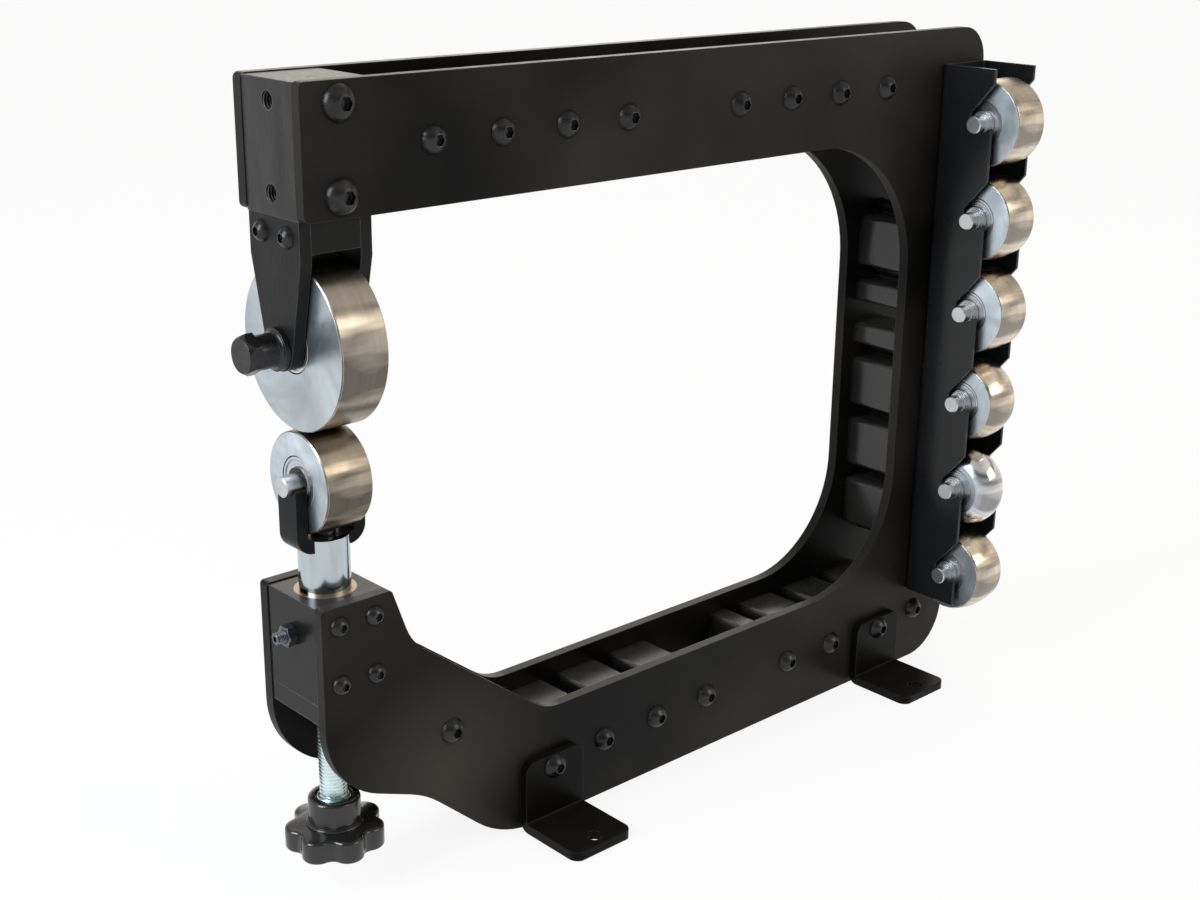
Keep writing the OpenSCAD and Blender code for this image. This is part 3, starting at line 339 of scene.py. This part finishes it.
# the spacers' edges are lightened strongly: a painted highlight along their bends, with some wear
sheetLook = {**plateLook, "dark": (0.008, 0.008, 0.008, 1), "light": (0.015, 0.013, 0.012, 1),
             "rough": (0.20, 0.34), "gloss": 0.5, "wearAndHighlight": 0.9, "edgeColour": (0.16, 0.16, 0.165, 1)}
guideLook = {**plateLook, "dark": (0.0050, 0.0048, 0.0047, 1), "light": (0.0095, 0.0090, 0.0088, 1),
             "paintedSheen": 0.10, "rough": (0.16, 0.30), "gloss": 0.15, "wearAndHighlight": 0.8,
             "edgeColour": (0.13, 0.12, 0.115, 1), "settled": 0.35}
blockLook = {"metal": 0.5, "gloss": 0.3,
             "dark": (0.010, 0.0092, 0.0095, 1), "light": (0.032, 0.0285, 0.030, 1), "cloud": 46.0,
             "stretch": (1, 1, 0.32), "grain": 0.35, "grainColour": (0.062, 0.056, 0.057, 1),
             "rough": (0.34, 0.52), "edge": 0.0008, "wearAndHighlight": 0.7, "edgeColour": (0.18, 0.165, 0.165, 1),
             "relief": 0.25, "settled": 0.5, "dust": (0.17, 0.16, 0.15, 1)}
forkLook = {**blockLook, "metal": 0.0, "gloss": 0.15,
            "dark": (0.0030, 0.0028, 0.0028, 1), "light": (0.0085, 0.0078, 0.0078, 1),
            "grain": 0.2, "grainColour": (0.020, 0.019, 0.019, 1), "edge": 0.0006,
            "edgeColour": (0.14, 0.135, 0.135, 1), "settled": 0.3}
oxideLook = {"metal": 0.75, "dark": (0.016, 0.0155, 0.0155, 1), "light": (0.036, 0.035, 0.036, 1),
             "cloud": 120.0, "grain": 0.15, "grainColour": (0.065, 0.065, 0.07, 1), "rough": (0.20, 0.32),
             "edge": 0.0003, "wearAndHighlight": 0.5, "edgeColour": (0.22, 0.225, 0.235, 1), "relief": 0.10,
             "settled": 0.1, "dust": (0.10, 0.10, 0.10, 1)}
# screws and nuts get strongly lightened bluish edges: mostly a painted highlight, with some wear
screwLook = {**oxideLook, "dark": (0.050, 0.054, 0.058, 1), "light": (0.12, 0.126, 0.134, 1),
             "wearAndHighlight": 0.9, "edgeColour": (0.62, 0.66, 0.70, 1)}
anvilLook = {"aniso": 0.45, "cloud": 60.0, "lines": 1500.0, "edge": 0.0004,
             # cool sides and warm rim: tints of painted reflection on one steel
             "side": (0.68, 0.76, 0.81, 1), "sideDark": (0.42, 0.46, 0.51, 1),
             "rim": (0.80, 0.69, 0.54, 1), "rimDark": (0.27, 0.24, 0.20, 1),
             "ring": 0.25, "rimLine": (0.22, 0.195, 0.165, 1), "bright": (0.80, 0.85, 0.90, 1),
             "sideRough": (0.34, 0.46), "rimRough": (0.20, 0.30), "relief": 0.10}
ballLook = {**anvilLook, "rim": (0.80, 0.78, 0.76, 1), "rimDark": (0.26, 0.255, 0.27, 1),
            "rimLine": (0.5, 0.5, 0.52, 1), "rimRough": (0.10, 0.17)}
# the big wheel's rim is a darker copy of the anvils' rim: painted shade and darker reflection for where it
# sits
bigWheelLook = {**anvilLook, "cloud": 24.0,
                "side": (0.66, 0.73, 0.77, 1), "sideDark": (0.34, 0.37, 0.40, 1),
                "rim": (0.42, 0.375, 0.315, 1), "rimDark": (0.13, 0.118, 0.103, 1),
                "sideRough": (0.27, 0.33), "rimRough": (0.24, 0.34)}
# the working anvil's rim is a darker copy of the spare anvils' rim: painted shade for where it sits
workingLook = {**anvilLook, "rim": (0.43, 0.37, 0.29, 1), "rimDark": (0.10, 0.09, 0.078, 1),
               "rimRough": (0.28, 0.38)}
ringLook = {"metal": 1.0, "dark": (0.46, 0.48, 0.50, 1), "light": (0.62, 0.65, 0.68, 1), "cloud": 50.0,
            "grain": 0.1, "grainColour": (0.75, 0.78, 0.82, 1), "rough": (0.26, 0.36), "edge": 0,
            "relief": 0.02, "settled": 0.0, "dust": (0.4, 0.4, 0.4, 1)}
pinLook = {**ringLook, "dark": (0.50, 0.50, 0.505, 1), "light": (0.64, 0.64, 0.645, 1),
           "rough": (0.32, 0.42)}
chromeLook = {"colour": (0.54, 0.61, 0.65, 1), "darkBand": (0.26, 0.25, 0.245, 1), "darkBandShare": 0.45,
              "cloud": 90.0, "stretch": (1, 1, 0.15), "rough": (0.12, 0.20), "edge": 0.0003,
              "relief": 0.02}
zincLook = {**ringLook, "dark": (0.66, 0.77, 0.78, 1), "light": (0.86, 0.95, 0.95, 1),
            "rough": (0.22, 0.34)}
bronzeLook = {**ringLook, "dark": (0.36, 0.255, 0.165, 1), "light": (0.50, 0.365, 0.245, 1),
              "grainColour": (0.55, 0.42, 0.30, 1), "rough": (0.34, 0.46)}
plasticLook = {**plateLook, "dark": (0.006, 0.006, 0.006, 1), "light": (0.010, 0.0095, 0.009, 1),
               "rough": (0.12, 0.20), "gloss": 0.6, "edge": 0.0004, "wearAndHighlight": 0.25, "peel": 0.03, "cloud": 60.0,
               "paintedSheen": 0.0, "settled": 0.15}

platePaint = makePaint("platePaint", plateLook)
rackPaint = makePaint("rackPaint", rackLook)
sheetPaint = makePaint("sheetPaint", sheetLook)
footPaint = makePaint("footPaint", footLook)
guidePaint = makePaint("guidePaint", guideLook)
yokePaint = makePaint("yokePaint", yokeLook)
knobPlastic = makePaint("knobPlastic", plasticLook)
blockSteel = makeBareSteel("blockSteel", blockLook)
forkSteel = makeBareSteel("forkSteel", forkLook)
blackOxide = makeBareSteel("blackOxide", oxideLook)
screwSteel = makeBareSteel("screwSteel", screwLook)
bearingSteel = makeBareSteel("bearingSteel", ringLook)
pinSteel = makeBareSteel("pinSteel", pinLook)
zincPlating = makeBareSteel("zincPlating", zincLook)
bushBronze = makeBareSteel("bushBronze", bronzeLook)
ramChrome = makeChrome("ramChrome", chromeLook)

finishOf = {
    "near_plate": platePaint, "far_plate": platePaint, "head_block": blockSteel, "upper_spacers": sheetPaint,
    "column_spacers": sheetPaint, "lower_spacers": sheetPaint, "nose_spacer": blackOxide,
    "guide_block": guidePaint, "guide_bush": bushBronze, "ram_shaft": ramChrome,
    "screw_plate": guidePaint, "near_feet": footPaint, "far_feet": footPaint,
    "carrier_block": forkSteel, "fork_plate_front": forkSteel,
    "fork_plate_rear": forkSteel, "wheel_inner_rings": bearingSteel, "yoke": yokePaint,
    "rack_channel": rackPaint, "working_pin": pinSteel}


def centreOf(node):
    low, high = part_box(node)
    return (low + high) / 2


def dress(node, finish):
    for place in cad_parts[node].material_slots:
        place.material = finish


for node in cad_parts:
    if node in finishOf:
        dress(node, finishOf[node])
    elif node == "upper_wheel":
        dress(node, makeTurned("bigWheelSteel", bigWheelLook, centreOf(node)))
    elif "anvil" in node:
        look = {"working_anvil": workingLook, "rack_anvil_5": ballLook}.get(node, anvilLook)
        dress(node, makeTurned(node + "_steel", look, centreOf(node)))
    elif "bearings" in node:
        dress(node, bearingSteel)
    elif "pin" in node:
        dress(node, pinSteel)
    else:
        dress(node, blackOxide)
print("finishes on")


# shapes, drawn in millimetres about the Z axis

sink = 0.05  # how deep the foot of a thread's ridge sits in its core
crease = math.radians(32)  # edges sharper than this stay sharp in the shading
alongX = Matrix.Rotation(math.radians(90), 4, "Y")
alongMinusX = Matrix.Rotation(math.radians(-90), 4, "Y")
alongY = Matrix.Rotation(math.radians(-90), 4, "X")


def vertsOf(geom):
    return [g for g in geom if isinstance(g, bmesh.types.BMVert)]


def edgesOf(geom):
    return [g for g in geom if isinstance(g, bmesh.types.BMEdge)]


def allOf(shape):
    return shape.verts[:] + shape.edges[:] + shape.faces[:]


def turned(shape, profile, steps=64):
    # radii and heights; a profile that starts and ends on the axis is left open there
    onAxis = profile[0][0] == 0
    spots = [shape.verts.new((radius, 0, height)) for radius, height in profile]
    count = len(spots) - (1 if onAxis else 0)
    lines = [shape.edges.new((spots[i], spots[(i + 1) % len(spots)])) for i in range(count)]
    bmesh.ops.spin(shape, geom=spots + lines, cent=(0, 0, 0), axis=(0, 0, 1), angle=2 * math.pi, steps=steps,
                   use_merge=True)
    if onAxis:
        bmesh.ops.remove_doubles(shape, verts=shape.verts, dist=1e-4)


def threaded(shape, root, crest, pitch, low, high, steps=24):
    # a ridge wound from one height to the other, with its two ends closed
    flank = 0.45 * pitch  # half the ridge at its foot
    tip = 0.08 * pitch  # half the ridge at its crest
    turns = (high - low) / pitch
    ridge = [(root, -flank), (crest, -tip), (crest, tip), (root, flank)]
    spots = [shape.verts.new((radius, 0, low + height)) for radius, height in ridge]
    face = shape.faces.new(spots)
    bmesh.ops.spin(shape, geom=spots + face.edges[:] + [face], cent=(0, 0, 0), axis=(0, 0, 1),
                   dvec=(0, 0, pitch / steps), angle=2 * math.pi * turns, steps=round(turns * steps))


def hexNut(shape, across, bore, height):
    # a disc with cone-shaped chamfers, cut to six flats
    corner = across / 2 / math.cos(math.radians(30))
    face = 0.475 * across  # radius of the round face inside the chamfer
    slope = (corner - face) * math.tan(math.radians(30))
    lead = 0.06 * across  # chamfer of the bore
    turned(shape, [(bore + lead, 0), (face, 0), (corner, slope), (corner, height - slope), (face, height),
                   (bore + lead, height), (bore, height - lead), (bore, lead)], 60)
    for k in range(6):
        side = Vector((math.cos(math.radians(60 * k)), math.sin(math.radians(60 * k)), 0))
        cut = bmesh.ops.bisect_plane(shape, geom=allOf(shape), dist=1e-5, plane_co=side * across / 2,
                                     plane_no=side, clear_outer=True)
        bmesh.ops.contextual_create(shape, geom=edgesOf(cut["geom_cut"]))


def newObject(name, shape):
    mesh = bpy.data.meshes.new(name)
    shape.to_mesh(mesh)
    shape.free()
    made = bpy.data.objects.new(name, mesh)
    bpy.context.scene.collection.objects.link(made)
    return made


def addPiece(name, shape, body, finish, nodes=()):
    bmesh.ops.recalc_face_normals(shape, faces=shape.faces)
    piece = newObject(name, shape)
    piece.data.materials.append(finish)
    piece.data.shade_smooth()
    piece.data.set_sharp_from_angle(angle=crease)
    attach(piece, body)
    if nodes:
        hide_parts(*nodes)


def settle(shape, place, turn=None, spots=None):
    # from millimetres about the Z axis to metres at a place of the frame
    matrix = Matrix.Translation(place) @ (turn or Matrix.Identity(4)) @ Matrix.Scale(mm, 4)
    bmesh.ops.transform(shape, matrix=matrix, verts=spots or shape.verts)


def islandsOf(node):
    # the boxes of a node's separate solids
    shape = bmesh.new()
    shape.from_mesh(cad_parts[node].data)
    bmesh.ops.remove_doubles(shape, verts=shape.verts, dist=1e-5)
    left = set(shape.verts)
    boxes = []
    while left:
        group = [left.pop()]
        for spot in group:
            for edge in spot.link_edges:
                other = edge.other_vert(spot)
                if other in left:
                    left.remove(other)
                    group.append(other)
        boxes.append((Vector([min(v.co[i] for v in group) for i in range(3)]),
                      Vector([max(v.co[i] for v in group) for i in range(3)])))
    shape.free()
    return boxes


# star knob

def knobReach(angle, look):
    # how far the outline of lobes and hollows lies from the axis
    step = math.pi / look["lobes"]
    side = look["lobe"] + look["hollow"]
    hollowOut = look["out"] * math.cos(step) + math.sqrt(side ** 2 - (look["out"] * math.sin(step)) ** 2)
    toHollow = Vector((hollowOut * math.cos(step) - look["out"], hollowOut * math.sin(step))) / side
    touch = Vector((look["out"], 0)) + toHollow * look["lobe"]
    fromLobe = abs((angle + step) % (2 * step) - step)
    fromHollow = step - fromLobe
    if fromLobe > math.atan2(touch.y, touch.x):
        return hollowOut * math.cos(fromHollow) - math.sqrt(
            look["hollow"] ** 2 - (hollowOut * math.sin(fromHollow)) ** 2)
    return look["out"] * math.cos(fromLobe) + math.sqrt(
        look["lobe"] ** 2 - (look["out"] * math.sin(fromLobe)) ** 2)


def roundedCorner(radius, height, edge, angles):
    # points of a corner whose sides meet at this radius and height
    return [(radius - edge + edge * math.cos(t), height - edge + edge * math.sin(t)) for t in angles]


def addKnob():
    look = {"lobes": 7, "out": 17.0, "lobe": 8.0, "hollow": 5.0, "thick": 12.0, "edge": 1.7, "bore": 7.3,
            "sunk": 0.2, "bead": 14.5, "beadTop": 13.5, "beadEdge": 0.9, "hub": 13.5,
            "hubFoot": [(0.15, 0), (0.2, 0.3)], "taper": 0.4, "top": 27.0, "crown": 2.0, "mouth": 9.4,
            "dish": 0.5,
            "insert": [(7.05, 20), (8.6, 20), (8.6, 26.6), (8.3, 26.9), (7.4, 26.9), (7.05, 26.5)]}
    low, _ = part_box("star_knob")
    centre = centreOf("lead_screw")
    foot = (centre.x, centre.y, low.z)
    shape = bmesh.new()
    bmesh.ops.create_circle(shape, cap_ends=True, segments=24 * look["lobes"], radius=1)
    for spot in shape.verts:
        reach = knobReach(math.atan2(spot.co.y, spot.co.x), look)
        spot.co = spot.co.normalized() * reach
    grown = bmesh.ops.extrude_face_region(shape, geom=shape.faces[:])
    for spot in vertsOf(grown["geom"]):
        spot.co.z += look["thick"]
    rims = [e for e in shape.edges if abs(e.verts[0].co.z - e.verts[1].co.z) < 1e-6]
    bmesh.ops.bevel(shape, geom=rims, offset=look["edge"], segments=4, profile=0.5, affect="EDGES",
                    material=-1)
    settle(shape, foot)
    addPiece("knob_lobes", shape, "lift_screw", knobPlastic, ["star_knob"])

    start = look["thick"] - look["sunk"]
    dished = look["top"] - look["dish"]
    profile = [(look["bore"], start), (look["bead"], start)]
    profile += roundedCorner(look["bead"], look["beadTop"], look["beadEdge"], (0, 0.4, 0.8, 1.2, 1.57))
    profile += [(look["hub"] - inward, look["beadTop"] + up) for inward, up in look["hubFoot"]]
    profile += roundedCorner(look["hub"] - look["taper"], look["top"], look["crown"],
                             (0, 0.3, 0.6, 0.9, 1.2, 1.57))
    profile += [(look["mouth"], look["top"]), (look["mouth"] - look["dish"], dished), (look["bore"], dished)]
    shape = bmesh.new()
    turned(shape, profile, 96)
    settle(shape, foot)
    addPiece("knob_hub", shape, "lift_screw", knobPlastic)

    shape = bmesh.new()
    turned(shape, look["insert"])
    settle(shape, foot)
    addPiece("knob_insert", shape, "lift_screw", zincPlating)


# lead screw, M14 with 2 mm pitch

def addLeadScrew():
    look = {"root": 5.75, "crest": 7.0, "pitch": 2.0, "start": 12.1, "threadStart": 13.6, "threadEnd": 92.0,
            "runOut": 1.2, "nose": 1.0}
    _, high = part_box("lead_screw")
    knobLow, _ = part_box("star_knob")
    end = (high.z - knobLow.z) / mm
    centre = centreOf("lead_screw")
    shape = bmesh.new()
    turned(shape, [(0, look["start"]), (look["root"], look["start"]), (look["root"], look["threadEnd"]),
                   (look["crest"], look["threadEnd"] + look["runOut"]), (look["crest"], end - look["nose"]),
                   (look["crest"] - look["nose"], end), (0, end)], 48)
    threaded(shape, look["root"] - sink, look["crest"], look["pitch"], look["threadStart"], look["threadEnd"])
    settle(shape, (centre.x, centre.y, knobLow.z))
    addPiece("lead_screw_thread", shape, "lift_screw", zincPlating, ["lead_screw"])


# set screw that keys the ram, M6, and its lock nut

def addSetScrew():
    look = {"root": 2.42, "crest": 2.99, "pitch": 1.0, "socket": 1.55, "depth": 2.8, "lead": 0.5,
            "step": 0.05, "threadStart": 1.2, "threadLeft": 0.6, "nutAcross": 9.6, "nutBore": 3.05}
    low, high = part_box("set_screw")
    centre = centreOf("set_screw")
    length = (high.x - low.x) / mm
    shape = bmesh.new()
    ring = bmesh.ops.create_circle(shape, segments=36, radius=look["crest"] - look["lead"])["verts"]
    corner = look["socket"] / math.cos(math.radians(30))
    hole = bmesh.ops.create_circle(shape, segments=6, radius=corner)["verts"]
    rim = [e for e in shape.edges if e.verts[0] in ring]
    mouth = [e for e in shape.edges if e.verts[0] in hole]
    bmesh.ops.bridge_loops(shape, edges=rim + mouth)
    outside = ((look["lead"], look["crest"]), (look["lead"] + look["step"], look["root"]),
               (length, look["root"]))
    inside = ((look["depth"], None),)
    for edges, steps in ((rim, outside), (mouth, inside)):
        for height, radius in steps:
            grown = bmesh.ops.extrude_edge_only(shape, edges=edges)["geom"]
            edges = edgesOf(grown)
            for spot in vertsOf(grown):
                spot.co.z = height
                if radius:
                    spot.co.xy = spot.co.xy.normalized() * radius
        bmesh.ops.contextual_create(shape, geom=edges)
    threaded(shape, look["root"] - sink, look["crest"], look["pitch"], look["threadStart"],
             length - look["threadLeft"])
    settle(shape, (low.x, centre.y, centre.z), alongX)
    addPiece("set_screw_thread", shape, "frame", screwSteel, ["set_screw"])

    low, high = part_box("lock_nut")
    shape = bmesh.new()
    hexNut(shape, look["nutAcross"], look["nutBore"], (high.x - low.x) / mm)
    settle(shape, (high.x, centre.y, centre.z), alongMinusX)
    addPiece("lock_nut_chamfered", shape, "frame", screwSteel, ["lock_nut"])


# nuts on the far side, and the nut at the rear of the upper axle

def addNuts():
    look = {"across": 12.8, "bore": 4.05, "height": 6.4, "axleAcross": 17.0, "axleBore": 5.05,
            "flange": [(5.05, 0), (9.6, 0), (10, 0.4), (10, 0.9), (9.2, 1.3), (5.05, 1.3)]}
    shape = bmesh.new()
    hexNut(shape, look["across"], look["bore"], look["height"])
    first = allOf(shape)
    seats = [((low.x + high.x) / 2, low.y, (low.z + high.z) / 2) for low, high in islandsOf("tie_nuts")]
    for seat in seats[1:]:
        copied = bmesh.ops.duplicate(shape, geom=first)["geom"]
        settle(shape, seat, alongY, vertsOf(copied))
    settle(shape, seats[0], alongY, vertsOf(first))
    addPiece("tie_nuts_chamfered", shape, "frame", blackOxide, ["tie_nuts"])

    low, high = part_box("axle_nut")
    centre = centreOf("axle_nut")
    shape = bmesh.new()
    hexNut(shape, look["axleAcross"], look["axleBore"], (high.x - low.x) / mm)
    turned(shape, look["flange"], 60)
    settle(shape, (low.x, centre.y, centre.z), alongX)
    addPiece("axle_nut_flanged", shape, "frame", blackOxide, ["axle_nut"])


# closed ball bearings: a chamfered outer ring with a rolled shield sunk into it

def addBearings():
    look = {"outer": 12.95, "race": 11.15, "face": 12.3, "back": 4.3,
            "ring": [(12.95, 0.75), (12.35, 0), (11.3, 0), (11.15, 0.2), (11.15, 0.75)],
            "shield": [(10.75, 0.75), (10.55, 0.45), (9.08, 0.45), (8.68, 0.75), (7.88, 0.75),
                       (7.58, 0.95), (7.58, 1.4), (11.15, 1.6)]}
    # the sections of ring and shield are radii and depths below the bearing's face
    section = [(radius, look["face"] - depth) for radius, depth in look["ring"] + look["shield"]]
    profile = [(look["outer"], look["back"])] + section + [(look["race"], look["back"])]
    bodyOf = {"wheel_bearings": "wheel", "working_bearings": "working_wheel"}
    bodyOf.update({f"rack_bearings_{i}": f"spare_wheel_{i}" for i in range(1, 7)})
    for node, body in bodyOf.items():
        shape = bmesh.new()
        turned(shape, profile, 72)
        mirrored = bmesh.ops.duplicate(shape, geom=allOf(shape))["geom"]
        for spot in vertsOf(mirrored):
            spot.co.z = -spot.co.z
        settle(shape, centreOf(node), alongX)
        addPiece(node + "_shielded", shape, body, bearingSteel, [node])


# yoke: a bent strip whose ends are cut down to half-round seats, open behind, and a black spacer each side

def carved(shape, cutters):
    # the shape less each cutter, as a new bmesh
    whole = newObject("carvedShape", shape)
    helpers = [newObject("cutter", cutter) for cutter in cutters]
    for helper in helpers:
        cut = whole.modifiers.new("cut", "BOOLEAN")
        cut.operation, cut.solver, cut.object = "DIFFERENCE", "EXACT", helper
    graph = bpy.context.evaluated_depsgraph_get()
    left = bmesh.new()
    left.from_object(whole, graph)
    for item in [whole] + helpers:
        mesh = item.data
        bpy.data.objects.remove(item)
        bpy.data.meshes.remove(mesh)
    return left


def addYoke():
    look = {"strip": 6.0, "bend": 9.0, "seat": 5.3, "lip": 1.6, "edge": 0.7, "screw": 3.2,
            "spacerBore": 5.1, "spacer": 7.5, "spacerIn": 12.36, "spacerOut": 12.92}
    low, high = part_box("yoke")
    pin = centreOf("working_pin")
    half = (high.x - low.x) / 2 / mm
    width = (high.y - low.y) / mm
    foot = (low.z - pin.z) / mm
    top, inner, base = -look["lip"], half - look["strip"], foot + look["strip"]
    outline = [(-half, top), (-half, foot), (half, foot), (half, top), (inner, top), (inner, base),
               (-inner, base), (-inner, top)]
    shape = bmesh.new()
    face = shape.faces.new([shape.verts.new((x, -width / 2, z)) for x, z in outline])
    grown = bmesh.ops.extrude_face_region(shape, geom=[face])
    for spot in vertsOf(grown["geom"]):
        spot.co.y += width

    def crossEdges(height, reach):
        # the edges across the strip at one height, on both sides
        ends = [v for v in shape.verts if abs(v.co.z - height) < 1e-4 and abs(abs(v.co.x) - reach) < 1e-4]
        return [e for e in shape.edges if e.verts[0] in ends and e.verts[1] in ends
                and abs(e.verts[0].co.y - e.verts[1].co.y) > 1]

    bends = ((foot, half, look["bend"]), (base, inner, look["bend"] - look["strip"]),
             (top, half, look["edge"]))
    for height, reach, radius in bends:
        bmesh.ops.bevel(shape, geom=crossEdges(height, reach), offset=radius, segments=8, profile=0.5,
                        affect="EDGES", material=-1)
    bmesh.ops.recalc_face_normals(shape, faces=shape.faces)
    seat = bmesh.new()
    bmesh.ops.create_cone(seat, cap_ends=True, segments=64, radius1=look["seat"], radius2=look["seat"],
                          depth=3 * half, matrix=alongX)
    opening = bmesh.new()
    size = Matrix.Diagonal((2 * half, width, 2 * look["seat"], 1))
    bmesh.ops.create_cube(opening, size=2, matrix=Matrix.Translation((0, width, look["seat"])) @ size)
    hole = bmesh.new()
    bmesh.ops.create_cone(hole, cap_ends=True, segments=32, radius1=look["screw"], radius2=look["screw"],
                          depth=3 * look["strip"], matrix=Matrix.Translation((0, 0, foot)))
    left = carved(shape, [seat, opening, hole])
    settle(left, pin)
    addPiece("yoke_strip", left, "ram", yokePaint, ["yoke"])

    shape = bmesh.new()
    profile = [(look["spacerBore"], look["spacerIn"]), (look["spacer"], look["spacerIn"]),
               (look["spacer"], look["spacerOut"]), (look["spacerBore"], look["spacerOut"])]
    for side in (1, -1):
        before = set(shape.verts)
        turned(shape, profile)
        for spot in shape.verts:
            if spot not in before:
                spot.co.z *= side
    settle(shape, pin, alongX)
    addPiece("axle_spacers", shape, "working_axle", blackOxide)


# threads inside the two tapped holes of the head, M10

def addHeadThreads():
    look = {"wall": 4.28, "crest": 3.85, "pitch": 1.5, "start": 0.9, "end": 12.2, "steps": 28,
            "heights": (390, 350)}
    low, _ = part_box("head_block")
    shape = bmesh.new()
    for height in look["heights"]:
        before = set(shape.verts)
        threaded(shape, look["wall"], look["crest"], look["pitch"], look["start"], look["end"], look["steps"])
        settle(shape, (low.x, 0, height * mm), alongX, [v for v in shape.verts if v not in before])
    addPiece("head_threads", shape, "frame", blockSteel)


addKnob()
addLeadScrew()
addSetScrew()
addNuts()
addBearings()
addYoke()
addHeadThreads()
print("pieces ready")


# camera

def addCamera():
    shot = {"place": (-0.676549, -0.650842, 0.486206), "azimuth": -42.65044, "elevation": 18.53772,
            "roll": 0.71188, "lens": 52.149, "sensor": 36, "sight": 100}
    azimuth, elevation, roll = (math.radians(shot[key]) for key in ("azimuth", "elevation", "roll"))
    back = Vector((math.sin(azimuth) * math.cos(elevation), -math.cos(azimuth) * math.cos(elevation),
                   math.sin(elevation)))
    right = Vector((0, 0, 1)).cross(back).normalized()
    up = back.cross(right)
    tiltedRight = right * math.cos(roll) + up * math.sin(roll)
    tiltedUp = up * math.cos(roll) - right * math.sin(roll)
    camera = bpy.data.objects.new("camera", bpy.data.cameras.new("camera"))
    camera.data.lens = shot["lens"]
    camera.data.sensor_width = shot["sensor"]
    camera.data.clip_end = shot["sight"]
    turn = Matrix((tiltedRight, tiltedUp, back)).transposed().to_4x4()
    camera.matrix_world = Matrix.Translation(shot["place"]) @ turn
    bpy.context.scene.collection.objects.link(camera)
    bpy.context.scene.camera = camera


# studio

def addFloor():
    look = {"size": 60.0, "colour": (0.93, 0.928, 0.925, 1), "rough": 0.7, "gloss": 0.1, "seen": 0.88}
    shape = bmesh.new()
    bmesh.ops.create_grid(shape, x_segments=1, y_segments=1, size=look["size"] / 2)
    floor = newObject("floor", shape)
    finish, tree, _ = startFinish("floorWhite", Base_Color=look["colour"], Roughness=look["rough"],
                                  Specular_IOR_Level=look["gloss"])
    seen = sums(tree, "MULTIPLY", whiteRays(tree), look["seen"])
    white = put(tree, "Emission", {"Color": (1, 1, 1, 1), "Strength": 1.0}).outputs[0]
    lit = tree.nodes["Principled BSDF"].outputs[0]
    blend = put(tree, "MixShader", {0: seen, 1: lit, 2: white}).outputs[0]
    join(tree, blend, tree.nodes["Material Output"].inputs["Surface"])
    floor.data.materials.append(finish)


def addSky():
    # a soft room: levels by height, a window on the left, a darker side behind the camera, a glare behind
    # the part, and a white backdrop low down; each side has its direction, where it starts along that
    # direction, and its gain there and at its middle
    world = bpy.data.worlds.new("studio")
    bpy.context.scene.world = world
    world.use_nodes = True
    tree = world.node_tree
    sky = {"strength": 0.95, "white": (0.05, 0.20),
           "window": ((-0.697, 0.642, 0), 0.3, 1.0, 1.35), "room": ((-0.68, -0.73, 0), 0.2, 1.0, 0.4),
           "glare": ((0.65, 0.70, 0.32), 0.86, 0.0, 2.2),
           "tints": (-0.8, 0.8), "cool": (0.90, 0.96, 1.0, 1), "warm": (1.0, 0.94, 0.86, 1),
           "levels": [(0.0, 0.75), (0.10, 0.70), (0.24, 0.95), (0.36, 0.95), (0.46, 0.25), (0.56, 0.30),
                      (0.66, 0.95), (0.80, 0.85), (1.0, 0.5)]}
    direction = put(tree, "TexCoord").outputs["Generated"]
    upward = put(tree, "SeparateXYZ", {0: direction}).outputs
    ramp = put(tree, "ValToRGB", {0: upward["Z"]})
    fillRamp(ramp.color_ramp, sky["levels"])

    def towards(aim, start, gain, middleGain):
        along = put(tree, "VectorMath", {0: direction, 1: aim}, operation="DOT_PRODUCT").outputs["Value"]
        return spread(tree, along, start, 1.0, gain, middleGain)

    walls = sums(tree, "MULTIPLY", towards(*sky["window"]), towards(*sky["room"]))
    level = sums(tree, "MULTIPLY", sums(tree, "ADD", walls, towards(*sky["glare"])), sky["strength"])
    tint = mixColour(tree, spread(tree, upward["X"], *sky["tints"]), sky["cool"], sky["warm"])
    lit = put(tree, "Mix", {0: 1.0, 6: ramp.outputs[0], 7: tint}, data_type="RGBA",
              blend_type="MULTIPLY").outputs[2]
    white = sums(tree, "MULTIPLY", whiteRays(tree), spread(tree, upward["Z"], *sky["white"], 1.0, 0.0))
    back = tree.nodes["Background"].inputs
    join(tree, mixColour(tree, white, lit, (1, 1, 1, 1)), back["Color"])
    join(tree, put(tree, "Mix", {0: white, 2: level, 3: 1.0}).outputs[0], back["Strength"])


lamps = {
    "windowLamp": {"place": (-1.65, 0.15, 1.0), "aim": (-0.1, 0, 0.2), "size": (0.7, 1.1), "power": 26,
                   "colour": (0.86, 0.94, 1.0)},
    "roomLamp": {"place": (0.9, -1.9, 1.3), "aim": (0, 0, 0.2), "size": (1.4, 0.8), "power": 14,
                 "colour": (1.0, 0.92, 0.82)}}


def addLamp(name, look):
    lamp = bpy.data.lights.new(name, "AREA")
    lamp.shape = "RECTANGLE"
    lamp.size, lamp.size_y = look["size"]
    lamp.energy = look["power"]
    lamp.color = look["colour"]
    holder = bpy.data.objects.new(name, lamp)
    turn = (Vector(look["aim"]) - Vector(look["place"])).to_track_quat("-Z", "Y").to_matrix().to_4x4()
    holder.matrix_world = Matrix.Translation(look["place"]) @ turn
    bpy.context.scene.collection.objects.link(holder)


addCamera()
addFloor()
addSky()
for name, look in lamps.items():
    addLamp(name, look)
bpy.context.scene.view_settings.view_transform = "Standard"
print("camera and studio ready")
